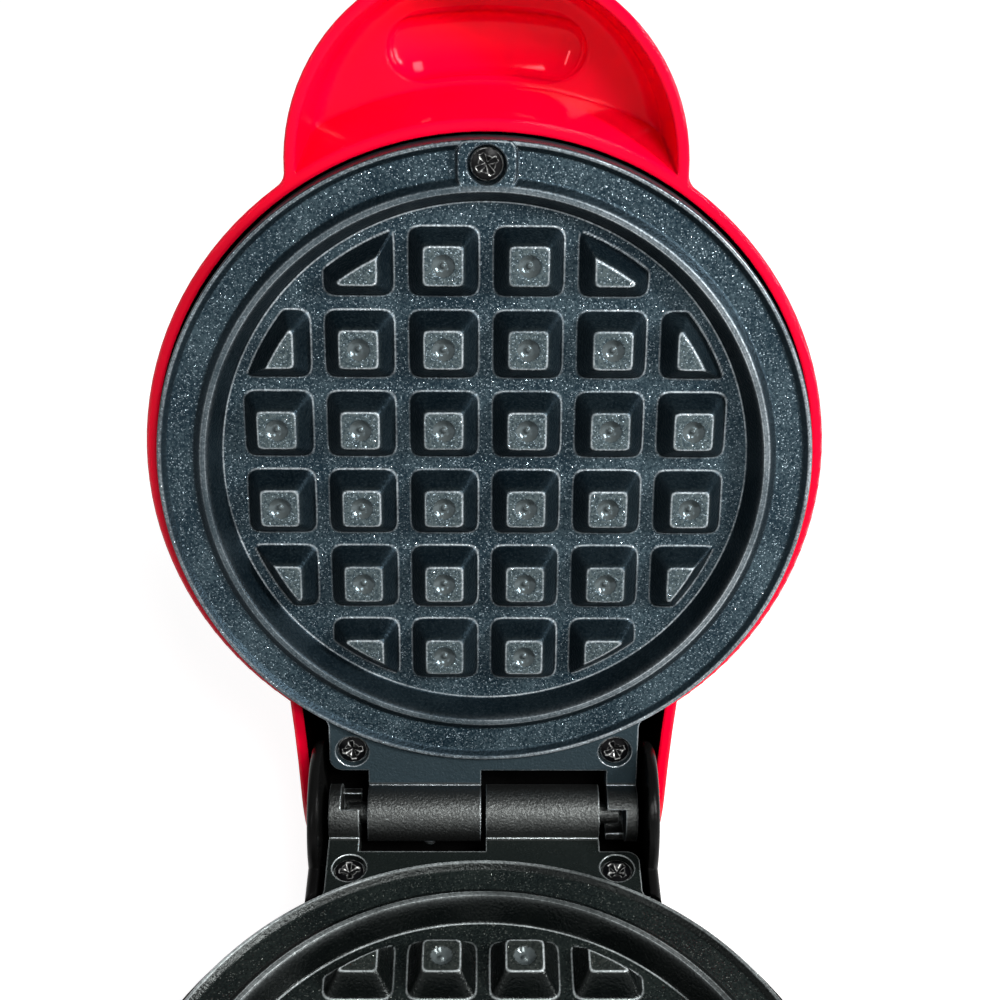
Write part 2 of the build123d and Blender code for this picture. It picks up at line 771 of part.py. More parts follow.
# Space that the back of the base takes up behind the hinge when the lid stands open
lean = radians(180 - open_angle)
stop_plane = Plane(
    origin=(0, -hinge_reach, hinge_rise),
    x_dir=(0, -sin(lean), -cos(lean)),
    z_dir=(1, 0, 0),
)
with BuildPart() as lid_shell:
    add(lid_form.part)
    add(drum(
        shell_radius - shell_wall, lid_depth - shell_wall, lid_draft, lid_shoulder - shell_wall, lid_crown,
    ), mode=Mode.SUBTRACT)
    add(lid_neck(shell_wall), mode=Mode.SUBTRACT)
    add(lid_cup.part, mode=Mode.SUBTRACT)
    add(lid_posts.part)
    with BuildSketch(stop_plane.offset(-base_neck_half_width - cheek_clearance)):
        with Locations((lid_depth, (ear_radius + stop_gap - lid_depth) / 2)):
            Rectangle(2 * lid_depth, lid_depth + ear_radius + stop_gap)
    extrude(amount=2 * (base_neck_half_width + cheek_clearance), mode=Mode.SUBTRACT)
    with BuildSketch(Plane.XY.offset(-skirt_depth)):
        with Locations(*plate_screw_places):
            Circle(plate_screw_shank / 2 + pilot_clearance)
    extrude(amount=-pilot_depth, mode=Mode.SUBTRACT)
    with BuildSketch():
        with Locations((0, lens_reach)):
            Circle(lens_diameter / 2 + hole_clearance)
    extrude(amount=-lid_depth, mode=Mode.SUBTRACT)
finish(lid_shell.part, "lid_shell", upper_frame)

# Indicator light: a clear lens from inside the lid, its lamp and the lamp's holder
lens_seat = -lid_depth + lamp_drop
lens_back = lens_seat + lens_flange_thickness
crown_reach = shell_radius - (lid_depth - lid_crown) * tan(radians(lid_draft))
crown_radius = (crown_reach**2 + lid_crown**2) / (2 * lid_crown)
lens_surface = -lid_depth + crown_radius - sqrt(crown_radius**2 - lens_reach**2)
with BuildPart() as lens:
    with BuildSketch(Plane.XY.offset(lens_seat)):
        with Locations((0, lens_reach)):
            Circle(lens_flange / 2)
    extrude(amount=lens_flange_thickness)
    with BuildSketch(Plane.XY.offset(lens_seat)):
        with Locations((0, lens_reach)):
            Circle(lens_diameter / 2)
    extrude(amount=lens_surface - lens_proud - lens_seat)
    fillet(lens.faces().sort_by(Axis.Z)[0].edges(), lens_proud)
finish(lens.part, "indicator_lens", upper_frame)

lamp_radius = lamp_diameter / 2
holder_inner = lamp_radius + lamp_holder_gap
holder_outer = holder_inner + lamp_holder_wall
cap_inner = lens_flange / 2 + lamp_holder_gap
cap_outer = lens_flange / 2 + lamp_holder_wall
with BuildPart() as lamp_holder:
    with BuildSketch(Plane.XZ):
        Polygon(
            (holder_inner, lens_back),
            (cap_inner, lens_back),
            (cap_inner, lens_seat),
            (cap_outer, lens_seat),
            (cap_outer, lens_back + lamp_holder_wall),
            (holder_outer, lens_back + lamp_holder_wall),
            (holder_outer, lens_back + lamp_length - 1.0),
            (holder_inner, lens_back + lamp_length - 1.0),
            align=None,
        )
    revolve(axis=Axis.Z)
with BuildPart() as lamp:
    with BuildSketch(Plane.XY.offset(lens_back + lamp_holder_gap)):
        Circle(lamp_radius)
    extrude(amount=lamp_length)
    fillet(lamp.faces().sort_by(Axis.Z)[0].edges(), 0.8 * lamp_radius)
lens_place = Location((0, lens_reach, 0))
finish(lamp_holder.part.moved(lens_place), "lamp_holder", upper_frame)
finish(lamp.part.moved(lens_place), "indicator_lamp", upper_frame)


def base_neck(inset, floor):
    """Neck at the back of the base with its round ears, drawn in for the hollow."""
    radius = ear_radius - inset
    half_width = base_neck_half_width - inset
    foot = -base_depth + floor
    back = -hinge_reach - radius
    corner = base_heel_radius - inset
    ear_start = degrees(asin((neck_side_rise - hinge_rise) / radius))
    ear_front = -hinge_reach + radius * cos(radians(ear_start))
    with BuildPart() as body:
        with BuildSketch(Plane.YZ):
            with BuildLine():
                Polyline(
                    (ear_front, neck_side_rise), (-lid_neck_waist, neck_side_rise),
                    (-lid_neck_waist, foot), (back + corner, foot),
                )
                CenterArc((back + corner, foot + corner), corner, 180, 90)
                Line((back, foot + corner), (back, hinge_rise))
                CenterArc((-hinge_reach, hinge_rise), radius, ear_start, 180 - ear_start)
            make_face()
        extrude(amount=half_width, both=True)
        if inset == 0:
            sides = body.faces().filter_by(lambda face: abs(face.center().X) > half_width - 0.01)
            rims = sides.edges().filter_by(lambda edge: edge.center().Y < -lid_neck_waist - 0.01)
            fillet(rims, neck_edge_radius)
    return body.part


# Base shell: a black moulding with the hinge well, screw posts and the cord entry
floor_top = -base_depth + base_floor
back_face = -hinge_reach - ear_radius
clamp_reach = -back_face - clamp_setback
terminal_block_reach = -back_face - terminal_block_setback
rear_foot_reach = -back_face - rear_foot_setback
gland_level = gland_height - foot_height - base_depth
rear_face = Plane(origin=(0, back_face, gland_level), x_dir=(1, 0, 0), z_dir=(0, 1, 0))
clamp_places = [(side * clamp_half_span, -clamp_reach) for side in (-1, 1)]
clamp_seat = gland_level + 0.4
block_places = [(side * block_screw_spread / 2, -terminal_block_reach) for side in (-1, 1)]
cover_screw_places = ring_places(cover_screw_count, cover_radius - cover_ledge / 2, first=45.0)
front_foot = (cover_radius + cover_fit + front_foot_margin + foot_diameter / 2 + foot_fit) / sqrt(2)
foot_places = [
    (-front_foot, front_foot), (front_foot, front_foot),
    (-rear_foot_spread, -rear_foot_reach), (rear_foot_spread, -rear_foot_reach),
]
with BuildPart() as base_form:
    add(drum(shell_radius, base_depth, base_draft, base_edge_radius, 0.0))
    add(base_neck(0.0, neck_floor_rise))
    with BuildSketch():
        Circle(plate_radius + rim_gap)
    extrude(amount=neck_side_rise, mode=Mode.SUBTRACT)

with BuildPart() as base_ribs:
    with BuildSketch(Plane.XY.offset(-skirt_depth)):
        with Locations(*plate_screw_places):
            Circle(post_radius)
    extrude(amount=-base_depth + skirt_depth + 0.5)
    well_front = -hinge_reach + well_wall_setback
    well_floor = hinge_rise - well_depth
    well_back = back_face + shell_wall / 2
    with BuildSketch(Plane.YZ):
        Polygon(
            (well_back, well_floor), (well_front - web_thickness, well_floor),
            (well_front - web_thickness, tab_bottom - 0.3), (well_front, tab_bottom - 0.3),
            (well_front, well_floor - web_thickness), (well_back, well_floor - web_thickness),
            align=None,
        )
    extrude(amount=neck_inner + shell_wall / 2, both=True)
    with BuildSketch(Plane.XY.offset(floor_top)):
        with Locations(*cover_screw_places):
            Circle(cover_boss_radius)
    extrude(amount=cover_boss_height)
    with BuildSketch(Plane.XY.offset(floor_top)):
        with Locations(*clamp_places):
            Circle(clamp_post_radius)
    extrude(amount=clamp_seat - floor_top)
    with BuildSketch(Plane.XY.offset(floor_top)):
        with Locations((0, -terminal_block_reach)):
            Rectangle(terminal_block_length, terminal_block_width)
    extrude(amount=block_pad_height)
    with BuildSketch(rear_face.offset(shell_wall)):
        Circle(gland_boss_radius)
    extrude(amount=gland_boss_depth)
    add(base_form.part, mode=Mode.INTERSECT)

with BuildPart() as base_shell:
    add(base_form.part)
    add(drum(
        shell_radius - shell_wall, base_depth - base_floor, base_draft, base_edge_radius - shell_wall, 0.0,
    ), mode=Mode.SUBTRACT)
    add(base_neck(shell_wall, base_floor), mode=Mode.SUBTRACT)
    with BuildSketch(Plane.YZ):
        with Locations((-hinge_reach, hinge_rise + rear_wall_rise + ear_radius)):
            Rectangle(4 * ear_radius, 2 * ear_radius)
        Polygon(
            (back_face + shell_wall, 0), (-lid_neck_waist, 0),
            (-lid_neck_waist, 2 * ear_radius), (back_face + shell_wall, 2 * ear_radius),
            align=None,
        )
    extrude(amount=neck_inner, both=True, mode=Mode.SUBTRACT)
    add(base_ribs.part)
    for places, radius, top, depth in (
        (plate_screw_places, plate_screw_shank / 2 + pilot_clearance, -skirt_depth, pilot_depth),
        (clamp_places, small_screw_shank / 2 + pilot_clearance, clamp_seat, small_screw_bite + 0.5),
        (block_places, small_screw_shank / 2 + pilot_clearance, floor_top + block_pad_height, 3.0),
    ):
        with BuildSketch(Plane.XY.offset(top)):
            with Locations(*places):
                Circle(radius)
        extrude(amount=-depth, mode=Mode.SUBTRACT)
    with BuildSketch(Plane.XY.offset(-base_depth)):
        Circle(cover_radius + cover_fit)
    extrude(amount=cover_thickness, mode=Mode.SUBTRACT)
    with BuildSketch(Plane.XY.offset(-base_depth)):
        Circle(cover_radius - cover_ledge)
    extrude(amount=base_floor, mode=Mode.SUBTRACT)
    with BuildSketch(Plane.XY.offset(-base_depth)):
        with Locations(*cover_screw_places):
            Circle(small_screw_shank / 2 + pilot_clearance)
    extrude(amount=base_floor + cover_boss_height - 1.0, mode=Mode.SUBTRACT)
    with BuildSketch(Plane.XY.offset(-base_depth)):
        with Locations(*foot_places):
            Circle(foot_diameter / 2 + foot_fit)
    extrude(amount=foot_seat, mode=Mode.SUBTRACT)
    with BuildSketch(rear_face):
        Circle(gland_flange_diameter / 2 + gland_fit)
    extrude(amount=gland_flange_thickness, mode=Mode.SUBTRACT)
    with BuildSketch(rear_face):
        Circle(gland_body_diameter / 2 + gland_fit)
    extrude(amount=shell_wall + gland_boss_depth, mode=Mode.SUBTRACT)
finish(base_shell.part, "base_shell", lower_frame)

# Cord gland: a rubber bushing flush with the back wall, its collar inside the boss
with BuildPart() as gland:
    gland_end = shell_wall + gland_boss_depth
    for start, stop, diameter in (
        (0.0, gland_flange_thickness, gland_flange_diameter),
        (gland_flange_thickness, gland_end, gland_body_diameter),
        (gland_end, gland_end + gland_collar_thickness, gland_collar_diameter),
    ):
        with BuildSketch(rear_face.offset(start)):
            Circle(diameter / 2)
        extrude(amount=stop - start)
    with BuildSketch(rear_face):
        Circle(gland_bore / 2)
    extrude(amount=gland_end + gland_collar_thickness, mode=Mode.SUBTRACT)
finish(gland.part, "cord_gland", lower_frame)

# Cord clamp: a nylon bar over the cord just inside the gland, on two posts
with BuildPart() as cord_clamp:
    with BuildSketch(Plane.XY.offset(clamp_seat)):
        with Locations((0, -clamp_reach)):
            SlotOverall(2 * (clamp_half_span + clamp_post_radius), clamp_width)
    extrude(amount=clamp_thickness)
    with BuildSketch(Plane.XZ.offset(clamp_reach - clamp_width)):
        with Locations((0, gland_level)):
            Circle(0.45 * gland_bore)
    extrude(amount=2 * clamp_width, mode=Mode.SUBTRACT)
    with BuildSketch(Plane.XY.offset(clamp_seat)):
        with Locations(*clamp_places):
            Circle(small_screw_shank / 2 + hole_clearance)
    extrude(amount=clamp_thickness, mode=Mode.SUBTRACT)
finish(cord_clamp.part, "cord_clamp", lower_frame)
clamp_screw = screw(
    small_screw_head, small_screw_head_height, small_screw_shank, small_screw_bite + clamp_thickness,
)
with BuildPart() as clamp_screws:
    with Locations(*[(x, y, clamp_seat + clamp_thickness) for x, y in clamp_places]):
        add(clamp_screw)
finish(clamp_screws.part, "cord_clamp_screws", lower_frame)

# Terminal block: ceramic, with a wire way through it for each conductor
block_foot = floor_top + block_pad_height
block_top = block_foot + terminal_block_height
with BuildPart() as terminal_block:
    with BuildSketch(Plane.XY.offset(block_foot)):
        with Locations((0, -terminal_block_reach)):
            Rectangle(terminal_block_length, terminal_block_width)
    extrude(amount=terminal_block_height)
    with BuildSketch(Plane.XZ.offset(terminal_block_reach - terminal_block_width)):
        with Locations((0, block_foot + 0.6 * terminal_block_height)):
            with GridLocations(block_wire_pitch, 0, 3, 1):
                Circle(block_wire_hole / 2)
    extrude(amount=2 * terminal_block_width, mode=Mode.SUBTRACT)
    with BuildSketch(Plane.XY.offset(block_foot)):
        with Locations(*block_places):
            Circle(small_screw_shank / 2 + hole_clearance)
    extrude(amount=terminal_block_height, mode=Mode.SUBTRACT)
finish(terminal_block.part, "terminal_block", lower_frame)
block_screw = screw(
    small_screw_head, small_screw_head_height, small_screw_shank, terminal_block_height + 2.5,
)
with BuildPart() as block_screws:
    with Locations(*[(x, y, block_top) for x, y in block_places]):
        add(block_screw)
finish(block_screws.part, "terminal_block_screws", lower_frame)

# Bottom cover with its vents, let into the floor of the base
with BuildPart() as bottom_cover:
    with BuildSketch(Plane.XY.offset(-base_depth)):
        Circle(cover_radius)
        with Locations(*cover_screw_places):
            Circle(small_screw_shank / 2 + hole_clearance, mode=Mode.SUBTRACT)
        for step in range(vent_count):
            across = (step - (vent_count - 1) / 2) * vent_pitch
            with Locations(Location((across, 0), 90)):
                SlotOverall(2 * sqrt(vent_radius**2 - across**2), vent_width, mode=Mode.SUBTRACT)
    extrude(amount=cover_thickness)
finish(bottom_cover.part, "bottom_cover", lower_frame)
with BuildPart() as cover_screws:
    with Locations(*[Location((x, y, -base_depth), (180, 0, 0)) for x, y in cover_screw_places]):
        add(small_screw)
finish(cover_screws.part, "bottom_cover_screws", lower_frame)

# Rubber feet, glued in shallow seats
with BuildPart() as feet:
    with BuildSketch(Plane.XY.offset(-base_depth - foot_height)):
        with Locations(*foot_places):
            Circle(foot_diameter / 2)
    extrude(amount=foot_height + foot_seat)
    chamfer(feet.edges().group_by(Axis.Z)[0], foot_edge)
finish(feet.part, "rubber_feet", lower_frame)
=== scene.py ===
import math

import bpy
import numpy as np
from mathutils import Matrix, Vector


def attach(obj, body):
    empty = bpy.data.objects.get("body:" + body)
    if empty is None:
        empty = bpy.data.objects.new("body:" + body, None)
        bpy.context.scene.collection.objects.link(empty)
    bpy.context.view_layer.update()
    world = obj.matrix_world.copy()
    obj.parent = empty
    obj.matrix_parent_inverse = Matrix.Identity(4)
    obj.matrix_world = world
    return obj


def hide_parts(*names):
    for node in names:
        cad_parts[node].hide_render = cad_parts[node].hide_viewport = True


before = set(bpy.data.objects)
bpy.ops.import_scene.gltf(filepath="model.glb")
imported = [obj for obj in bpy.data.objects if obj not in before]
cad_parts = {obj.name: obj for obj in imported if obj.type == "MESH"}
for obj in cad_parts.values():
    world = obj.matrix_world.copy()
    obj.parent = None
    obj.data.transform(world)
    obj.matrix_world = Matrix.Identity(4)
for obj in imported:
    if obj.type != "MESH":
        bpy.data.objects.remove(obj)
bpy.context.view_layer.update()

# Base shell: the black lower housing with the ears of the hinge, moulded in one piece
# from heat-proof plastic. It keeps the fine satin grain of its mould, and is a little
# duller in patches.


def start_look(name, colour, roughness, bevel=0.0004):
    """A new material with its surface point, its rounded edges and its shader."""
    look = bpy.data.materials.new(name)
    look.use_nodes = True
    tree = look.node_tree
    shader = tree.nodes["Principled BSDF"]
    shader.inputs["Base Color"].default_value = (*colour, 1)
    shader.inputs["Roughness"].default_value = roughness
    place = tree.nodes.new("ShaderNodeTexCoord")
    edges = tree.nodes.new("ShaderNodeBevel")
    edges.samples = 6
    edges.inputs["Radius"].default_value = bevel
    return look, tree, shader, place.outputs["Object"], edges.outputs["Normal"]


def noise(tree, point, size, detail=3.0):
    """Soft noise whose patches are about this size, in metres."""
    node = tree.nodes.new("ShaderNodeTexNoise")
    node.inputs["Scale"].default_value = 1.0 / size
    node.inputs["Detail"].default_value = detail
    tree.links.new(point, node.inputs["Vector"])
    return node.outputs["Fac"]


def spread(tree, value, low, high, out_low, out_high):
    """The value with its range from low to high stretched to the new range."""
    node = tree.nodes.new("ShaderNodeMapRange")
    for socket, number in zip(node.inputs[1:5], (low, high, out_low, out_high)):
        socket.default_value = number
    tree.links.new(value, node.inputs[0])
    return node.outputs[0]


def tint(tree, share, first, second):
    """A colour between the two, by the share."""
    node = tree.nodes.new("ShaderNodeMix")
    node.data_type = "RGBA"
    tree.links.new(share, node.inputs["Factor"])
    for socket, colour in ((node.inputs[6], first), (node.inputs[7], second)):
        if isinstance(colour, tuple):
            socket.default_value = (*colour, 1)
        else:
            tree.links.new(colour, socket)
    return node.outputs[2]


def relief(tree, height, normal, depth):
    """Raises the surface by the height, over this depth in metres."""
    node = tree.nodes.new("ShaderNodeBump")
    node.inputs["Strength"].default_value = 1.0
    node.inputs["Distance"].default_value = depth
    tree.links.new(height, node.inputs["Height"])
    tree.links.new(normal, node.inputs["Normal"])
    return node.outputs["Normal"]


def moulded(name, dark, light, roughness, grain, depth, bevel=0.0004):
    """Plastic, rubber or ceramic: mottled between two tones, with the grain of its mould."""
    look, tree, shader, point, edges = start_look(name, dark, roughness, bevel)
    patch_size = 0.02
    patches = noise(tree, point, patch_size)
    fine = noise(tree, point, grain)
    colour = tint(tree, spread(tree, patches, 0.35, 0.65, 0, 1), dark, light)
    dull = spread(tree, patches, 0.3, 0.7, 0.9 * roughness, 1.1 * roughness)
    tree.links.new(colour, shader.inputs["Base Color"])
    tree.links.new(dull, shader.inputs["Roughness"])
    tree.links.new(relief(tree, fine, edges, depth), shader.inputs["Normal"])
    return look


def dress(look, *names):
    """Gives CAD nodes their material."""
    for name in names:
        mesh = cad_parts[name].data
        mesh.materials.clear()
        mesh.materials.append(look)


base_plastic = moulded(
    "base_plastic", dark=(0.003, 0.003, 0.003), light=(0.006, 0.006, 0.006),
    roughness=0.22, grain=0.0005, depth=0.00003, bevel=0.0006,
)
base_shader = base_plastic.node_tree.nodes["Principled BSDF"]
base_shader.inputs["Specular IOR Level"].default_value = 0.05
dress(base_plastic, "base_shell")

# Rubber feet and cord gland: black rubber, moulded with a matt grain. The feet are
# pressed into their seats under the base, and the gland lines the hole at its back
# that the mains cord goes through.
rubber = moulded(
    "rubber", dark=(0.014, 0.014, 0.014), light=(0.028, 0.027, 0.026),
    roughness=0.75, grain=0.0003, depth=0.00006,
)
dress(rubber, "rubber_feet", "cord_gland")

# Cord clamp and terminal block: a moulded nylon bar that holds the cord down, and a
# pressed ceramic block that joins its wires. Each is held to the base by two screws.
nylon = moulded(
    "nylon", dark=(0.62, 0.58, 0.5), light=(0.7, 0.66, 0.58),
    roughness=0.45, grain=0.0005, depth=0.00003,
)
ceramic = moulded(
    "ceramic", dark=(0.72, 0.68, 0.6), light=(0.8, 0.77, 0.7),
    roughness=0.55, grain=0.0003, depth=0.00004,
)
dress(nylon, "cord_clamp")
dress(ceramic, "terminal_block")

# Small screws: bright plated steel, rolled and headed, driven into the posts of the
# shells and the backs of the plates to hold everything inside.


def plated(name, colour, roughness, grain):
    """Bare or plated metal with fine rolling marks and dull spots."""
    look, tree, shader, point, edges = start_look(name, colour, roughness, 0.0002)
    shader.inputs["Metallic"].default_value = 1.0
    spot_size, mark_depth = 0.006, 0.00002
    stretched = tree.nodes.new("ShaderNodeMapping")
    stretched.inputs["Scale"].default_value = (1.0, 0.08, 1.0)
    tree.links.new(point, stretched.inputs["Vector"])
    marks = noise(tree, stretched.outputs["Vector"], grain)
    spots = noise(tree, point, spot_size)
    dull = tuple(0.7 * part for part in colour)
    spotted = tint(tree, spread(tree, spots, 0.4, 0.7, 0, 1), colour, dull)
    brushed = spread(tree, marks, 0.3, 0.7, 0.8 * roughness, 1.3 * roughness)
    tree.links.new(spotted, shader.inputs["Base Color"])
    tree.links.new(brushed, shader.inputs["Roughness"])
    tree.links.new(relief(tree, marks, edges, mark_depth), shader.inputs["Normal"])
    return look


steel = plated("bright_steel", colour=(0.58, 0.57, 0.55), roughness=0.3, grain=0.0004)
dress(
    steel, "terminal_block_screws", "cord_clamp_screws", "thermostat_screws",
    "fuse_clip_screws", "lower_shield_screws", "upper_shield_screws",
    "lower_strap_screws", "upper_strap_screws", "bottom_cover_screws",
)

# Heating elements: a steel tube bent to a ring and pressed into the groove under each
# plate. Ceramic seals close its ends round flat steel terminals, and sheet metal straps
# hold it down.
tube = plated("element_tube", colour=(0.30, 0.29, 0.27), roughness=0.42, grain=0.0005)
sheet = plated("sheet_metal", colour=(0.66, 0.67, 0.68), roughness=0.36, grain=0.0006)
dress(tube, "lower_heating_element", "upper_heating_element")
dress(ceramic, "lower_element_seals", "upper_element_seals")
dress(steel, "lower_element_terminals", "upper_element_terminals")
dress(sheet, "lower_element_straps", "upper_element_straps")

# Heat shields: shallow pans pressed from aluminised sheet, screwed over the elements so
# that the plastic of the shells stays cool.
dress(sheet, "lower_heat_shield", "upper_heat_shield")

# Thermostat and thermal fuse: the thermostat is a dark moulded switch screwed under the
# lower plate. The fuse is a small steel cartridge under the upper plate, in a sheet clip.
switch_body = moulded(
    "switch_body", dark=(0.035, 0.02, 0.014), light=(0.05, 0.03, 0.02),
    roughness=0.4, grain=0.0003, depth=0.00003,
)
dress(switch_body, "thermostat")
dress(steel, "thermal_fuse")
dress(sheet, "fuse_clip")

# Waffle plates: one aluminium die casting used for both halves, with a dark non-stick
# coat full of fine metallic flecks. The cooking side is redrawn with the soft edges of
# the casting: studs with dimples, ridge, channel, lip and the boss of the front screw.

# A plate's own frame is in millimetres, from the middle of the mould floor: u runs
# across, v away from the hinge and w out of the cooking side.
stud_pitch, stud_height = 15.0, 4.44
stud_foot, stud_flank, stud_round = 6.17, 1.711, 0.55
field_radius, field_flank, field_round = 46.0, 1.708, 0.7
foot_round = 0.5
dimple_radius, dimple_depth, dimpled_field = 2.05, 1.05, 40.0
pip_height, pip_inside, pip_outside = 0.72, 0.15, 0.85
grid_radius, ring_start = 47.9, 47.0
ring_radii = (0, 48.2, 50.4, 51.5, 53.0, 57.6, 58.6, 62)
ring_heights = (0, 0, 5.05, 5.05, 3.8, 3.8, 4.85, 4.85)
ridge_radius, ridge_inside = 51.0, 49.5
boss_v, boss_half_width, boss_half_depth, boss_corner = 55.05, 2.1, 1.65, 3.0
boss_base, boss_top, boss_flank, boss_round = 4.85, 4.87, 7.0, 0.4
seat_height, seat_radius, seat_flank, seat_reach, seam_round = 3.05, 3.15, 9.0, 4.2, 0.3
lip_radius, lip_start, lip_round = 59.3, 58.95, 0.35
skirt_height = 4.3


def soft_min(a, b, width):
    """The lower of two heights, with their crease rounded over this width."""
    share = np.clip(0.5 + 0.5 * (b - a) / width, 0, 1)
    return b + (a - b) * share - width * share * (1 - share)


def soft_max(a, b, width):
    """The higher of two heights, with their crease rounded over this width."""
    return -soft_min(-a, -b, width)


def swell(value, low, high):
    """A smooth rise from 0 at low to 1 at high."""
    share = np.clip((value - low) / (high - low), 0, 1)
    return share * share * (3 - 2 * share)


ring_steps = np.arange(0, ring_radii[-1], 0.02)
softness = np.hanning(37)
sharp_rings = np.interp(ring_steps, ring_radii, ring_heights)
ring_profile = np.convolve(
    np.pad(sharp_rings, len(softness) // 2, mode="edge"), softness / softness.sum(), "valid"
)


def stud_middle(along):
    """The middle of the stud that stands in this row or column of the pattern."""
    return (np.floor(along / stud_pitch) + 0.5) * stud_pitch


def whole_stud(cu, cv):
    """True for a stud that the round field leaves whole enough to carry a dimple."""
    return np.hypot(cu, cv) < dimpled_field


def plate_height(u, v):
    """Height of the cooking side over the mould floor."""
    r = np.hypot(u, v)
    rings = np.interp(r, ring_steps, ring_profile)
    cu, cv = stud_middle(u), stud_middle(v)
    past_foot = (np.abs(u - cu) ** 8 + np.abs(v - cv) ** 8) ** 0.125 - stud_foot
    stud = soft_min(-stud_flank * past_foot, field_flank * (field_radius - r), field_round)
    stud = soft_min(stud, stud_height, stud_round)
    across = np.hypot(u - cu, v - cv)
    bowl = np.maximum(dimple_depth * (1 - (across / dimple_radius) ** 2), 0)
    pip = pip_height * (1 - swell(across, pip_inside, pip_outside))
    dimple = whole_stud(cu, cv) * (bowl - pip)
    stud = np.where(np.hypot(cu, cv) < field_radius, stud - dimple, -1)
    height = rings + soft_max(stud, np.zeros_like(r), foot_round) * (r < ring_start)

    out_u, out_v = np.abs(u) - boss_half_width, np.abs(v - boss_v) - boss_half_depth
    boss = np.hypot(np.maximum(out_u, 0), np.maximum(out_v, 0))
    boss = boss + np.minimum(np.maximum(out_u, out_v), 0) - boss_corner
    boss = np.where(v > 0, boss_base - boss_flank * np.maximum(boss, -0.1), 0)
    boss = soft_min(boss, np.full_like(r, boss_top), boss_round) * (r > ridge_inside)
    height = soft_max(height, boss, seam_round)
    from_screw = np.hypot(u, v - boss_v)
    seat = seat_height + seat_flank * np.maximum(from_screw - seat_radius, 0)
    in_seat = (v > 0) & (from_screw < seat_reach)
    height = np.where(in_seat, soft_min(height, seat, seam_round), height)
    edge = np.clip(r - lip_start, 0, lip_round)
    return height - (lip_round - np.sqrt(np.maximum(lip_round**2 - edge**2, 0)))


def wear_marks(u, v):
    """The height, and how worn, steep, flat, flecked or dimpled the coat is here; the wear
    marks also carry painted highlights and painted shade.
    """
    gap = 0.28
    here = plate_height(u, v)
    left, right = plate_height(u - gap, v), plate_height(u + gap, v)
    down, up = plate_height(u, v - gap), plate_height(u, v + gap)
    bend = (4 * here - left - right - down - up) / gap**2
    slope = np.hypot(right - left, up - down) / (2 * gap)
    steep = np.clip((slope - 0.3) / 0.5, 0, 1)

    r = np.hypot(u, v)
    cu, cv = stud_middle(u), stud_middle(v)
    across = np.hypot(u - cu, v - cv)
    stud_reach, over_floor, dimple_reach, dimple_rim = 46.5, 2.0, 1.97, 2.6
    on_stud = (r < stud_reach) & (here > over_floor)
    dimpled = on_stud & whole_stud(cu, cv) & (across < dimple_reach)
    by_dimple = on_stud & whole_stud(cu, cv) & (across < dimple_rim)

    # Outer edges are worn where they bend. The ridge's crest gets a band of painted
    # highlight, and the marks outside the field are painted weaker towards the left as
    # painted shade, brighter towards the right where the light falls.
    edge_bend, edge_range = 0.7, 2.2
    crest_radius, crest_width, crest_highlight_share, left_edge_shade = 50.9, 0.55, 0.24, 0.4
    edge = np.clip((bend - edge_bend) / edge_range, 0, 1) * (1 - steep) * ~by_dimple
    crest_highlight = crest_highlight_share * np.exp(-(((r - crest_radius) / crest_width) ** 2))
    painted_side_light = left_edge_shade + (1 - left_edge_shade) * swell(u, -25, 50)
    edge = np.maximum(edge, crest_highlight) * np.where(r > ridge_inside, painted_side_light, 1)

    # The feet of the studs are worn too. The line is weaker on their left and lower sides as
    # painted shade, which leaves it bright on the upper and right sides as a painted
    # highlight.
    foot_bend, foot_range, foot_wear, left_foot_shade, low_foot_shade = 0.6, 1.8, 0.9, 0.4, 0.35
    near_wall, cell_edge, near_floor = 5.6, 7.4, 0.5
    foot = foot_wear * np.clip((-bend - foot_bend) / foot_range, 0, 1)
    foot = foot * (1 - steep) * (here < near_floor)
    shaded = np.where(u - cu < -near_wall, left_foot_shade, 1)
    shaded = shaded * np.where(v - cv < -near_wall, low_foot_shade, 1)
    foot *= np.where((np.abs(u - cu) < cell_edge) & (r < ring_start), shaded, 1)

    satin_half_width, satin_share = 0.9, 0.7
    satin = satin_share * np.exp(-(((r - ridge_radius) / satin_half_width) ** 4))
    stud_top = on_stud * ~dimpled * swell(here, 3.4, 4.2)
    flecked = (1.0 - dimpled) * (1 - satin)
    return here, np.maximum(edge, foot), steep * ~dimpled, stud_top, flecked, 1.0 * dimpled


def quads(rows, columns, wrap):
    """Faces of a grid of points, row by row; wrap closes each row into a ring."""
    last = columns if wrap else columns - 1
    i, j = np.meshgrid(np.arange(rows - 1), np.arange(last), indexing="ij")
    k = (j + 1) % columns
    corners = [i * columns + j, (i + 1) * columns + j, (i + 1) * columns + k, i * columns + k]
    return np.stack(corners, -1).reshape(-1, 4)


def stud_field():
    """The stud field: a square net, finest on the rims and feet of the studs."""
    spans = (  # from, to and gap of the lines, from the middle of a stud
        (0, 2.3, 0.19), (2.3, 3.2, 0.26), (3.2, 4.0, 0.13),
        (4.0, 5.7, 0.26), (5.7, 6.6, 0.13), (6.6, 7.4, 0.26),
    )
    half = np.concatenate([np.arange(*span) for span in spans])
    cell = np.concatenate([-half[:0:-1], half])
    middles = np.arange(-3.5, 4) * stud_pitch
    lines = np.concatenate([cell + middle for middle in middles])
    lines = lines[np.abs(lines) < grid_radius]
    u, v = np.meshgrid(lines, lines, indexing="ij")
    faces = quads(len(lines), len(lines), False)
    inside = (np.hypot(u, v) <= grid_radius).ravel()
    faces = faces[inside[faces].all(axis=1)]
    height, *marks = wear_marks(u, v)
    used, order = np.unique(faces, return_inverse=True)
    points = np.stack([u, v, height], -1).reshape(-1, 3)[used]
    return points, order.reshape(faces.shape), np.stack(marks, -1).reshape(-1, 5)[used]


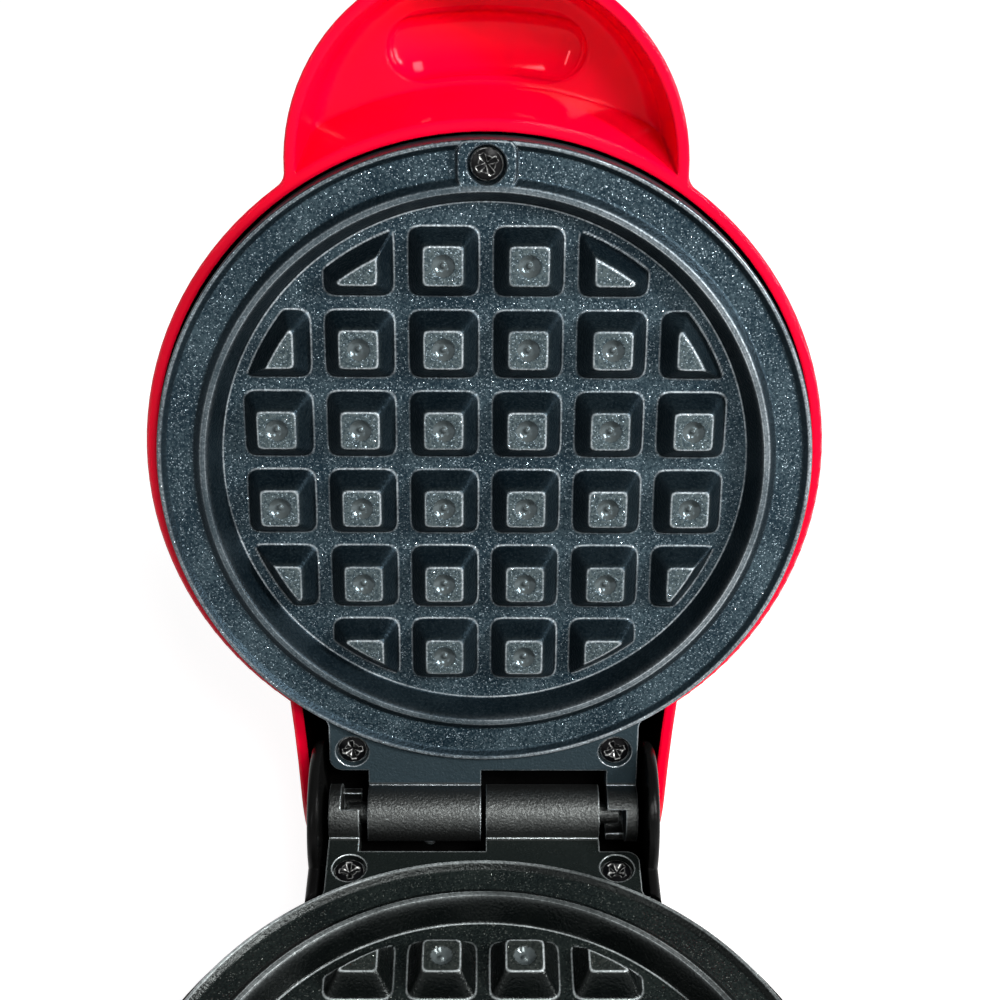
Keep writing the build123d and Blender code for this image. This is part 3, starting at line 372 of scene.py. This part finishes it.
def rings():
    """Ridge, channel and lip round the field, closed by a skirt down to the CAD's edge."""
    spans = (  # from, to and gap of the circles
        (46.6, 48.0, 0.3), (48.0, 48.6, 0.1), (48.6, 50.0, 0.2), (50.0, 50.9, 0.1),
        (50.9, 52.0, 0.1), (52.0, 52.7, 0.14), (52.7, 53.4, 0.1), (53.4, 57.2, 0.3),
        (57.2, 58.0, 0.1), (58.0, 58.9, 0.1), (58.9, 59.29, 0.05),
    )
    reach = [np.arange(low, high - 0.2 * gap, gap) for low, high, gap in spans]
    reach = np.concatenate(reach + [[lip_radius]])
    by_boss, elsewhere = np.arange(-8, 8, 0.15), np.arange(8, 352, 0.5)
    turns = np.radians(np.concatenate([by_boss, elsewhere]))
    r, turn = np.meshgrid(reach, turns, indexing="ij")
    u, v = r * np.sin(turn), r * np.cos(turn)
    height, *marks = wear_marks(u, v)
    overlap_sink = 0.015
    height -= overlap_sink * (r < grid_radius + 0.05)
    ring = np.stack([u, v, height], -1).reshape(-1, 3)
    skirt = ring[-len(turns):].copy()
    skirt[:, 2] = skirt_height
    slightly_worn_wall = [0.2, 1.0, 0.0, 0.0, 0.0]
    skirt_marks = np.tile(slightly_worn_wall, (len(turns), 1))
    return (
        np.concatenate([ring, skirt]),
        quads(len(reach) + 1, len(turns), True)[:, ::-1],
        np.concatenate([np.stack(marks, -1).reshape(-1, 5), skirt_marks]),
    )


hinge_y, hinge_z = 33.0, 36.0
hinge_reach, hinge_rise = 70.8, 5.2
lid_lean = math.radians(16.5)
up_lid = (0.0, math.sin(lid_lean), math.cos(lid_lean))
out_of_lid = (0.0, -math.cos(lid_lean), math.sin(lid_lean))
lid_middle = (
    0.0,
    0.001 * (hinge_y + hinge_reach * math.sin(lid_lean) + hinge_rise * math.cos(lid_lean)),
    0.001 * (hinge_z + hinge_reach * math.cos(lid_lean) - hinge_rise * math.sin(lid_lean)),
)
upper_to_row = Matrix((
    (0.001, 0, 0, 0),
    (0, 0.001 * up_lid[1], 0.001 * out_of_lid[1], lid_middle[1]),
    (0, 0.001 * up_lid[2], 0.001 * out_of_lid[2], lid_middle[2]),
    (0, 0, 0, 1),
))
lower_to_row = Matrix((
    (-0.001, 0, 0, 0), (0, -0.001, 0, -0.0377999), (0, 0, 0.001, 0.0308), (0, 0, 0, 1),
))


def placed(points, to_row):
    """Points of a plate's own frame, moved to the model's."""
    toward = np.array(to_row)
    return points @ toward[:3, :3].T + toward[:3, 3]


def gate_mark():
    """The low stub that the die's gate left on the upper knuckle, sunk into the barrel."""
    half_length, half_width, along_hinge = 1.1, 0.65, -10.4
    knuckle_radius, knuckle_back, knuckle_up = 5.5, 0.866, 0.494
    turns, rises = np.arange(0, 2 * np.pi, np.pi / 8), np.linspace(-1.45, 1.45, 9)
    turn, rise = np.meshgrid(turns, rises)
    ball = np.stack([
        half_length * np.sin(rise),
        half_width * np.cos(rise) * np.cos(turn),
        half_width * np.cos(rise) * np.sin(turn),
    ], -1)
    middle = np.array([
        along_hinge,
        -hinge_reach - knuckle_back * knuckle_radius,
        hinge_rise + knuckle_up * knuckle_radius,
    ])
    return ball.reshape(-1, 3) + middle, quads(len(rises), len(turns), True)[:, ::-1]


def casting(side, field, ring, to_row):
    """The whole plate: its cooking side, and the CAD casting's back, tab and knuckle."""
    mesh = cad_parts[f"{side}_plate"].data
    mesh.calc_loop_triangles()
    corners = np.empty(3 * len(mesh.vertices))
    mesh.vertices.foreach_get("co", corners)
    triangles = np.empty(3 * len(mesh.loop_triangles), int)
    mesh.loop_triangles.foreach_get("vertices", triangles)
    triangles = triangles.reshape(-1, 3)
    local = placed(corners.reshape(-1, 3), to_row.inverted())
    u, v, w = local.T
    r = np.hypot(u, v)

    # The CAD's cooking side and screw seat go, and its lip edge drops under the new one.
    slack, lowered_edge, cad_seat_radius, cad_seat_height = 0.1, 4.4, 3.4, 2.9
    top = (r <= lip_radius + 0.01) & (w > np.interp(r, ring_radii, ring_heights) - slack)
    top |= (np.hypot(u, v - boss_v) < cad_seat_radius) & (w > cad_seat_height)
    triangles = triangles[~top[triangles].all(axis=1)]
    local[(np.abs(r - lip_radius) < slack) & (w > lowered_edge), 2] = lowered_edge
    used, order = np.unique(triangles, return_inverse=True)

    groups = [field[:2], ring[:2], (local[used], order.reshape(triangles.shape))]
    if side == "upper":
        groups.append(gate_mark())
    faces, count = [], 0
    for points, group_faces in groups:
        faces += (group_faces + count).tolist()
        count += len(points)
    points = placed(np.concatenate([group[0] for group in groups]), to_row)
    cast = bpy.data.meshes.new(f"{side}_plate_casting")
    cast.from_pydata(points.tolist(), [], faces)
    cast.shade_smooth()
    marks = np.zeros((count, 5))
    drawn = np.concatenate([field[2], ring[2]])
    marks[:len(drawn)] = drawn
    for column, name in enumerate(("edge", "steep", "stud_top", "flecked", "dimple")):
        mark = cast.attributes.new(name, "FLOAT", "POINT")
        mark.data.foreach_set("value", marks[:, column].astype(np.float32))
    piece = bpy.data.objects.new(f"{side}_plate_casting", cast)
    bpy.context.scene.collection.objects.link(piece)
    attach(piece, {"lower": "base", "upper": "lid"}[side])
    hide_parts(f"{side}_plate")
    return piece


def join(tree, operation, first, second=0.0):
    """The result of one sum on two values, each a socket or a number."""
    node = tree.nodes.new("ShaderNodeMath")
    node.operation = operation
    for socket, value in zip(node.inputs, (first, second)):
        if isinstance(value, (int, float)):
            socket.default_value = value
        else:
            tree.links.new(value, socket)
    return node.outputs[0]


def join_vectors(tree, operation, first, second=None):
    """The result of one sum on vectors; the second is a socket, a tuple or not needed."""
    node = tree.nodes.new("ShaderNodeVectorMath")
    node.operation = operation
    tree.links.new(first, node.inputs[0])
    if isinstance(second, tuple):
        node.inputs[1].default_value = second
    elif second is not None:
        tree.links.new(second, node.inputs["Scale" if operation == "SCALE" else 1])
    return node.outputs["Value" if operation in ("DOT_PRODUCT", "LENGTH") else "Vector"]


def toward_value(tree, share, first, second):
    """A value that goes from the first to this number, by the share."""
    node = tree.nodes.new("ShaderNodeMix")
    tree.links.new(share, node.inputs[0])
    tree.links.new(first, node.inputs[2])
    node.inputs[3].default_value = second
    return node.outputs[0]


def vertex_mark(tree, called):
    """A mark that the mesh carries at its points."""
    node = tree.nodes.new("ShaderNodeAttribute")
    node.attribute_name = called
    return node.outputs["Fac"]


def coated(name, deep, mid, stud_top, fleck, bare_metal, share, gloss, sheen, bare, wear):
    """The non-stick coat: mottled and flecked, with painted shade on the walls, worn on the
    edges.
    """
    look, tree, shader, point, edges = start_look(name, deep, gloss, 0.0005)
    links = tree.links
    barrel_grey, barrel_dull = (0.085, 0.09, 0.088), 0.46
    dimple_grey, dimple_dull, dimple_metal = (0.075, 0.090, 0.092), 0.13, 0.25
    fleck_scale, fleck_dull, pebble_depth = 4600.0, 0.24, 0.00013
    cloud_size, grain_size, smear_size, patch_size = 0.012, 0.0005, 0.005, 0.014
    barrel_inside, barrel_outside = 0.0057, 0.0062
    steep, dimple = vertex_mark(tree, "steep"), vertex_mark(tree, "dimple")
    off_dimple = spread(tree, dimple, 0, 1, 1, 0)

    # Flecks: the brightest cells of a fine cell pattern, kept off walls and dimples.
    cells = tree.nodes.new("ShaderNodeTexVoronoi")
    cells.inputs["Scale"].default_value = fleck_scale
    links.new(point, cells.inputs["Vector"])
    split = tree.nodes.new("ShaderNodeSeparateColor")
    links.new(cells.outputs["Color"], split.inputs["Color"])
    bright = spread(tree, split.outputs[0], 1.0 - share, 1.0, 0.0, 1.0)
    bright = join(tree, "POWER", bright, 3.4)
    small = spread(tree, cells.outputs["Distance"], 0.7, 0.35, 0.0, 1.0)
    chosen = join(tree, "MULTIPLY", bright, small)
    chosen = join(tree, "MULTIPLY", chosen, spread(tree, steep, 0, 1, 1, 0.03))
    flecked = vertex_mark(tree, "flecked")
    chosen = join(tree, "MULTIPLY", chosen, spread(tree, flecked, 0, 1, 0.06, 1))
    chosen = join(tree, "MULTIPLY", chosen, off_dimple)

    # Colour: two mottled tones, greyer on the stud tops, duller where there are no flecks,
    # with painted shade darkening the walls, and the bare grey of the knuckle round the pin.
    cloud = noise(tree, point, cloud_size, 4.0)
    grain = noise(tree, point, grain_size, 2.0)
    patches = join(
        tree, "ADD", join(tree, "MULTIPLY", cloud, 0.6), join(tree, "MULTIPLY", grain, 0.9)
    )
    colour = tint(tree, spread(tree, patches, 0.62, 0.92, 0, 1), deep, mid)
    rubbed = spread(tree, grain, 0.42, 0.58, 0.35, 1.0)
    rubbed = join(tree, "MULTIPLY", vertex_mark(tree, "stud_top"), rubbed)
    colour = tint(tree, rubbed, colour, stud_top)
    satin = spread(tree, flecked, 0, 1, 1.0, 0)
    colour = tint(tree, satin, colour, tuple(0.58 * part for part in mid))
    painted_wall_shade = spread(tree, steep, 0, 1, 0, 0.85)
    colour = tint(tree, painted_wall_shade, colour, tuple(0.2 * part for part in deep))
    pin = (0, 0.001 * hinge_y, 0.001 * hinge_z)
    from_pin = join_vectors(tree, "SUBTRACT", point, pin)
    from_pin = join_vectors(tree, "MULTIPLY", from_pin, (0, 1, 1))
    from_pin = join_vectors(tree, "LENGTH", from_pin)
    barrel = spread(tree, from_pin, barrel_inside, barrel_outside, 1, 0)
    colour = tint(tree, barrel, colour, barrel_grey)
    colour = tint(tree, dimple, colour, dimple_grey)
    colour = tint(tree, chosen, colour, fleck)

    # Wear: patchy bare metal along the outer edges; the edge mark also carries the plate's
    # painted highlights and painted shade.
    flat = tree.nodes.new("ShaderNodeNewGeometry")
    turned = join_vectors(tree, "DOT_PRODUCT", edges, flat.outputs["Normal"])
    sharp = join(tree, "MULTIPLY", spread(tree, turned, 0.96, 0.83, 0.0, 1.0), off_dimple)
    rim = join(tree, "MAXIMUM", sharp, vertex_mark(tree, "edge"))
    fine_patches = noise(tree, point, grain_size, 3.0)
    wide_patches = noise(tree, point, patch_size, 2.0)
    patchy = join(
        tree, "MULTIPLY",
        spread(tree, fine_patches, 0.38, 0.56, 0.5, 1.0),
        spread(tree, wide_patches, 0.35, 0.6, 0.4, 1.0),
    )
    worn = join(tree, "MULTIPLY", join(tree, "MULTIPLY", rim, patchy), wear)
    worn = join(tree, "MINIMUM", worn, 1.0)
    links.new(tint(tree, worn, colour, bare_metal), shader.inputs["Base Color"])

    metal = join(tree, "MAXIMUM", chosen, join(tree, "MULTIPLY", worn, bare))
    metal = join(tree, "MAXIMUM", metal, join(tree, "MULTIPLY", dimple, dimple_metal))
    metal = join(tree, "MAXIMUM", metal, barrel)
    links.new(metal, shader.inputs["Metallic"])
    smears = noise(tree, point, smear_size, 3.0)
    dull = spread(tree, smears, 0.35, 0.65, 0.85 * gloss, 1.15 * gloss)
    dull = toward_value(tree, metal, dull, fleck_dull)
    dull = toward_value(tree, dimple, dull, dimple_dull)
    links.new(toward_value(tree, barrel, dull, barrel_dull), shader.inputs["Roughness"])

    # Relief: fine pebbles, with each fleck tilted its own way.
    tilt = join(tree, "ADD", chosen, join(tree, "MULTIPLY", barrel, 0.22))
    tilt = join(tree, "MULTIPLY", tilt, 0.9)
    facets = join_vectors(tree, "SUBTRACT", cells.outputs["Color"], (0.5, 0.5, 0.5))
    facets = join_vectors(tree, "SCALE", facets, tilt)
    pebbles = relief(tree, join(tree, "MULTIPLY", grain, off_dimple), edges, pebble_depth)
    tilted = join_vectors(tree, "ADD", pebbles, facets)
    links.new(join_vectors(tree, "NORMALIZE", tilted), shader.inputs["Normal"])
    shader.inputs["Specular IOR Level"].default_value = 0.26
    shader.inputs["Specular Tint"].default_value = (*sheen, 1)
    return look


upper_coat = coated(
    "coat_upper", deep=(0.003, 0.009, 0.014), mid=(0.036, 0.056, 0.066),
    stud_top=(0.062, 0.080, 0.082), fleck=(0.40, 0.50, 0.56),
    bare_metal=(0.75, 0.82, 0.86), share=0.34, gloss=0.38, sheen=(0.5, 0.78, 1.0),
    bare=1.0, wear=0.9,
)
# Painted shade: the lower plate carries the same coat, but it is given darker tones and
# flecks for the shade it lies in under the open lid. Its bare metal is paler and bluer, as a
# painted highlight on its worn edges.
shaded_lower_coat = coated(
    "coat_lower_shaded", deep=(0.004, 0.006, 0.006), mid=(0.011, 0.015, 0.014),
    stud_top=(0.02, 0.024, 0.022), fleck=(0.2, 0.22, 0.2),
    bare_metal=(0.86, 0.94, 0.95), share=0.14, gloss=0.27, sheen=(0.85, 0.92, 0.9),
    bare=0.6, wear=1.15,
)
field, ring = stud_field(), rings()
casting("upper", field, ring, upper_to_row).data.materials.append(upper_coat)
casting("lower", field, ring, lower_to_row).data.materials.append(shaded_lower_coat)

# Plate screws: three blackened steel screws with domed heads and a tapered cross hold
# each plate to its shell, one in the front boss and two in the tab by the hinge. The
# black is worn bright on the edges of the cross.
head_radius, head_height, head_flank, head_round = 2.92, 1.5, 6.0, 0.35
dome_radius, dome_fall = 2.6, 0.55
arm_half_width, arm_length, arm_depth, arm_rise = 0.5, 1.95, 1.15, 0.4
arm_flank, arm_end, point_depth, point_flank = 3.2, 3.4, 1.3, 0.9
cross_reach, cross_round, bottom_round = 2.2, 0.12, 0.15
screw_seats = ((0, boss_v, seat_height), (-25.5, -58.0, 2.1), (25.5, -58.0, 2.1))
screw_turns = {"upper": (0.5, 0.15, 0.35), "lower": (0.2, 0.75, 0.1)}
screw_black, screw_bare = (0.002, 0.002, 0.0025), (0.85, 0.86, 0.84)

black_screw, tree, shader, point, edges = start_look(
    "black_screw", (0.012, 0.012, 0.013), 0.3, 0.0002
)
scuffs = spread(tree, noise(tree, point, 0.0007, 3.0), 0.42, 0.62, 0.05, 0.9)
scuffed = join(tree, "MULTIPLY", vertex_mark(tree, "edge"), scuffs)
pitted = relief(tree, noise(tree, point, 0.0005), edges, 0.00003)
tree.links.new(tint(tree, scuffed, screw_black, screw_bare), shader.inputs["Base Color"])
tree.links.new(scuffed, shader.inputs["Metallic"])
tree.links.new(pitted, shader.inputs["Normal"])
shader.inputs["Specular IOR Level"].default_value = 0.12


def crossed_head(u, v):
    """Height of a screw's head over its seat: a dome with a tapered cross."""
    r = np.hypot(u, v)
    dome = head_height - dome_fall * (r / dome_radius) ** 2
    dome = soft_min(dome, head_flank * (head_radius - r), head_round)
    across_arm = np.minimum(np.abs(u), np.abs(v)) - arm_half_width
    along_arm = np.maximum(np.abs(u), np.abs(v))
    cut = soft_min(arm_depth - arm_rise * along_arm, -arm_flank * across_arm, cross_round)
    cut = soft_min(cut, arm_end * (arm_length - along_arm), bottom_round)
    cut = soft_max(cut, point_depth - point_flank * r, bottom_round)
    return dome - soft_max(cut, np.zeros_like(r), cross_round) * (r < cross_reach)


def screw_heads(side, to_row):
    """The three screw heads of one plate, each turned a little differently."""
    dome, rim = np.arange(0.02, 2.5, 0.06), np.arange(2.5, 2.93, 0.04)
    reach = np.concatenate([dome, rim])
    turns = np.radians(np.arange(0, 360, 3.0))
    r, turn = np.meshgrid(reach, turns, indexing="ij")
    u, v = r * np.cos(turn), r * np.sin(turn)
    gap, edge_bend, edge_range = 0.1, 2.6, 4
    height = crossed_head(u, v)
    left, right = crossed_head(u - gap, v), crossed_head(u + gap, v)
    down, up = crossed_head(u, v - gap), crossed_head(u, v + gap)
    bend = (4 * height - left - right - down - up) / gap**2
    marks = np.clip((bend - edge_bend) / edge_range, 0, 1).ravel()
    grid = quads(len(reach), len(turns), True)
    points, faces = [], []
    for number, (seat_u, seat_v, seat) in enumerate(screw_seats):
        spin = screw_turns[side][number]
        head_u = seat_u + (u * math.cos(spin) - v * math.sin(spin))
        head_v = seat_v + (u * math.sin(spin) + v * math.cos(spin))
        faces.append(grid + number * len(marks))
        points.append(np.stack([head_u, head_v, seat + height], -1).reshape(-1, 3))
    points = placed(np.concatenate(points), to_row)
    mesh = bpy.data.meshes.new(f"{side}_plate_screw_heads")
    mesh.from_pydata(points.tolist(), [], np.concatenate(faces).tolist())
    mesh.shade_smooth()
    worn = mesh.attributes.new("edge", "FLOAT", "POINT")
    worn.data.foreach_set("value", np.tile(marks, len(screw_seats)).astype(np.float32))
    mesh.materials.append(black_screw)
    piece = bpy.data.objects.new(f"{side}_plate_screw_heads", mesh)
    bpy.context.scene.collection.objects.link(piece)
    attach(piece, {"lower": "base", "upper": "lid"}[side])
    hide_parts(f"{side}_plate_screws")


screw_heads("upper", upper_to_row)
screw_heads("lower", lower_to_row)

# Lid shell: one glossy red moulding with the domed back, the round hollow handle and
# the cheeks that cover the hinge. Its inside round the plate and between the cheeks is
# painted near-black, as painted shade for the deep shadow there, and the edge of the
# thumb dish in the handle is soft.
lid_plastic = moulded(
    "lid_plastic", dark=(0.88, 0.0, 0.022), light=(0.93, 0.0, 0.027),
    roughness=0.07, grain=0.0012, depth=0.000004, bevel=0.0012,
)
tree = lid_plastic.node_tree
shader = tree.nodes["Principled BSDF"]
shader.inputs["Specular IOR Level"].default_value = 0.5
shader.inputs["Specular Tint"].default_value = (1.0, 0.14, 0.16, 1)
place = tree.nodes.new("ShaderNodeTexCoord")
facing = place.outputs["Normal"]

from_middle = join_vectors(tree, "SUBTRACT", place.outputs["Object"], lid_middle)
along_u = join_vectors(tree, "DOT_PRODUCT", from_middle, (1.0, 0.0, 0.0))
along_v = join_vectors(tree, "DOT_PRODUCT", from_middle, up_lid)
along_w = join_vectors(tree, "DOT_PRODUCT", from_middle, out_of_lid)
facing_u = join_vectors(tree, "DOT_PRODUCT", facing, (1.0, 0.0, 0.0))
facing_v = join_vectors(tree, "DOT_PRODUCT", facing, up_lid)
facing_w = join_vectors(tree, "DOT_PRODUCT", facing, out_of_lid)


def flat_length(tree, first, second):
    """The length of a flat arrow with these two sides."""
    arrow = tree.nodes.new("ShaderNodeCombineXYZ")
    tree.links.new(first, arrow.inputs[0])
    tree.links.new(second, arrow.inputs[1])
    return join_vectors(tree, "LENGTH", arrow.outputs[0])


def all_of(tree, *conditions):
    """1 where every (value, comparison, limit) holds."""
    result = None
    for value, comparison, limit in conditions:
        holds = join(tree, comparison, value, limit)
        result = holds if result is None else join(tree, "MULTIPLY", result, holds)
    return result


reach = flat_length(tree, along_u, along_v)
outward = join(
    tree, "ADD",
    join(tree, "MULTIPLY", facing_u, along_u), join(tree, "MULTIPLY", facing_v, along_v),
)
outward = join(tree, "DIVIDE", outward, reach)
to_own_side = join(tree, "MULTIPLY", facing_u, join(tree, "SIGN", along_u))
rim_inside, rim_outside, cheeks_start, plate_back = 0.045, 0.0606, -0.03, -0.006
to_middle, to_other_cheek, to_front, square_to_front = -0.3, -0.5, 0.2, 0.6
inside_rim = all_of(
    tree, (reach, "LESS_THAN", rim_outside), (reach, "GREATER_THAN", rim_inside),
    (outward, "LESS_THAN", to_middle),
)
inside_cheeks = all_of(
    tree, (along_v, "LESS_THAN", cheeks_start), (to_own_side, "LESS_THAN", to_other_cheek)
)
behind_plate = all_of(
    tree, (along_v, "LESS_THAN", 0.0), (along_w, "LESS_THAN", plate_back),
    (facing_w, "GREATER_THAN", to_front),
)
# Painted shade: the inside of the rim, between the cheeks and behind the plate is coloured
# near-black for the deep shadow there.
deep_inside_shade = join(tree, "MAXIMUM", inside_rim, inside_cheeks)
deep_inside_shade = join(tree, "MAXIMUM", deep_inside_shade, behind_plate)
red = shader.inputs["Base Color"].links[0].from_socket
painted_inner_shade = (0.008, 0.002, 0.002)
tree.links.new(tint(tree, deep_inside_shade, red, painted_inner_shade), shader.inputs["Base Color"])

dish_reach, dish_half_turn, dish_half_width, dish_edge = 0.0733, 0.145, 0.0064, 0.0018
turn = join(tree, "ABSOLUTE", join(tree, "ARCTAN2", along_u, along_v))
past_end = join(tree, "MAXIMUM", join(tree, "SUBTRACT", turn, dish_half_turn), 0.0)
past_end = join(tree, "MULTIPLY", past_end, dish_reach)
from_dish = flat_length(tree, join(tree, "SUBTRACT", reach, dish_reach), past_end)
slope = spread(tree, from_dish, 0.0, dish_half_width, 0.0, 1.0)
slope = join(tree, "MULTIPLY", slope, slope)
in_front = join(tree, "GREATER_THAN", facing_w, square_to_front)
slope = join(tree, "MULTIPLY", slope, in_front)
grained = shader.inputs["Normal"].links[0].from_socket
softened = relief(tree, slope, grained, dish_edge)

# One shading normal of the CAD mesh is off at the very middle of the dome, so the
# facets' own normals are used there.
first_facets, dome_back = 0.0098, -0.027
dome_middle = all_of(
    tree, (reach, "LESS_THAN", first_facets), (along_w, "LESS_THAN", dome_back)
)
facets = tree.nodes.new("ShaderNodeNewGeometry")
levelled = tree.nodes.new("ShaderNodeMix")
levelled.data_type = "VECTOR"
tree.links.new(dome_middle, levelled.inputs[0])
tree.links.new(softened, levelled.inputs[4])
tree.links.new(facets.outputs["True Normal"], levelled.inputs[5])
tree.links.new(levelled.outputs[1], shader.inputs["Normal"])
dress(lid_plastic, "lid_shell")

# Indicator light: a clear lens pressed into the lid from inside, over a small neon lamp
# in a moulded nylon holder.
lens = moulded(
    "clear_lens", dark=(0.85, 0.85, 0.85), light=(0.9, 0.9, 0.9),
    roughness=0.1, grain=0.001, depth=0.00001,
)
lens_shader = lens.node_tree.nodes["Principled BSDF"]
lens_shader.inputs["Transmission Weight"].default_value = 0.9
dress(lens, "indicator_lens", "indicator_lamp")
dress(nylon, "lamp_holder")

# Bottom cover: a vented lid of the same black plastic as the base shell, screwed on
# last from below.
dress(base_plastic, "bottom_cover")

# Table, room and lamps: a pale table in a pale room, which only the camera, gloss and
# glass see at full strength. The lamps are a narrow one on the right, a square one high
# in front and a weak strip on the left.
table_half = 4.0
table_mesh = bpy.data.meshes.new("floor")
table_corners = [
    (side_x * table_half, side_y * table_half, 0)
    for side_x, side_y in ((-1, -1), (1, -1), (1, 1), (-1, 1))
]
table_mesh.from_pydata(table_corners, [], [(0, 1, 2, 3)])
table = bpy.data.objects.new("floor", table_mesh)
bpy.context.scene.collection.objects.link(table)


def background_rays(tree):
    """1 for rays from the camera, off gloss and through glass; 0 for those that light."""
    path = tree.nodes.new("ShaderNodeLightPath")
    seen = path.outputs["Is Camera Ray"]
    for ray in ("Is Glossy Ray", "Is Transmission Ray"):
        seen = join(tree, "ADD", seen, path.outputs[ray])
        seen.node.use_clamp = True
    return seen


table_look = bpy.data.materials.new("floor")
table_look.use_nodes = True
tree = table_look.node_tree
matt = tree.nodes["Principled BSDF"]
table_grey, table_glow = 0.4, 0.9
matt.inputs["Base Color"].default_value = (table_grey, table_grey, table_grey, 1)
matt.inputs["Roughness"].default_value = 0.9
matt.inputs["Specular IOR Level"].default_value = 0.0
glow = tree.nodes.new("ShaderNodeEmission")
glow.inputs["Strength"].default_value = table_glow
glowing = tree.nodes.new("ShaderNodeAddShader")
tree.links.new(matt.outputs[0], glowing.inputs[0])
tree.links.new(glow.outputs[0], glowing.inputs[1])
pick = tree.nodes.new("ShaderNodeMixShader")
tree.links.new(background_rays(tree), pick.inputs[0])
tree.links.new(matt.outputs[0], pick.inputs[1])
tree.links.new(glowing.outputs[0], pick.inputs[2])
tree.links.new(pick.outputs[0], tree.nodes["Material Output"].inputs["Surface"])
table_mesh.materials.append(table_look)

room_light, sky_low, sky_high = 0.12, 1.0, 0.16
room = bpy.data.worlds.new("room")
bpy.context.scene.world = room
room.use_nodes = True
tree = room.node_tree
place = tree.nodes.new("ShaderNodeTexCoord")
height = tree.nodes.new("ShaderNodeSeparateXYZ")
tree.links.new(place.outputs["Generated"], height.inputs[0])
sky = spread(tree, height.outputs["Z"], 0.1, 0.6, sky_low, sky_high)
strength = tree.nodes.new("ShaderNodeMix")
strength.inputs[2].default_value = room_light
tree.links.new(background_rays(tree), strength.inputs[0])
tree.links.new(sky, strength.inputs[3])
tree.links.new(strength.outputs[0], tree.nodes["Background"].inputs["Strength"])
tree.nodes["Background"].inputs["Color"].default_value = (1, 1, 1, 1)

aim = Vector((0, 0.02, 0.08))
for name, place, width, height, power in (
    ("key", (0.38, -0.14, 0.35), 0.05, 0.24, 3.6),
    ("top_front", (0.30, -0.72, 1.05), 0.34, 0.34, 9.0),
    ("fill", (-0.7, -0.8, 0.7), 0.04, 0.50, 2.0),
):
    lamp = bpy.data.lights.new(name, "AREA")
    lamp.shape = "RECTANGLE"
    lamp.size, lamp.size_y = width, height
    lamp.energy = power
    stand = bpy.data.objects.new(name, lamp)
    stand.location = place
    stand.rotation_euler = (Vector(place) - aim).to_track_quat("Z", "Y").to_euler()
    stand.visible_camera = False
    bpy.context.scene.collection.objects.link(stand)

# Camera: looks down into the open waffle maker from the user's side.
view = bpy.data.cameras.new("photo_view")
view.sensor_width = 36.0
view.lens = 58.02
view.clip_start = 0.01
camera = bpy.data.objects.new("photo_view", view)
camera.location = (-0.00105, -0.182947, 0.27513)
camera.rotation_euler = [math.radians(turn) for turn in (53.0629, -0.6240, -0.4517)]
bpy.context.scene.collection.objects.link(camera)
bpy.context.scene.camera = camera
bpy.context.scene.view_settings.view_transform = "Standard"
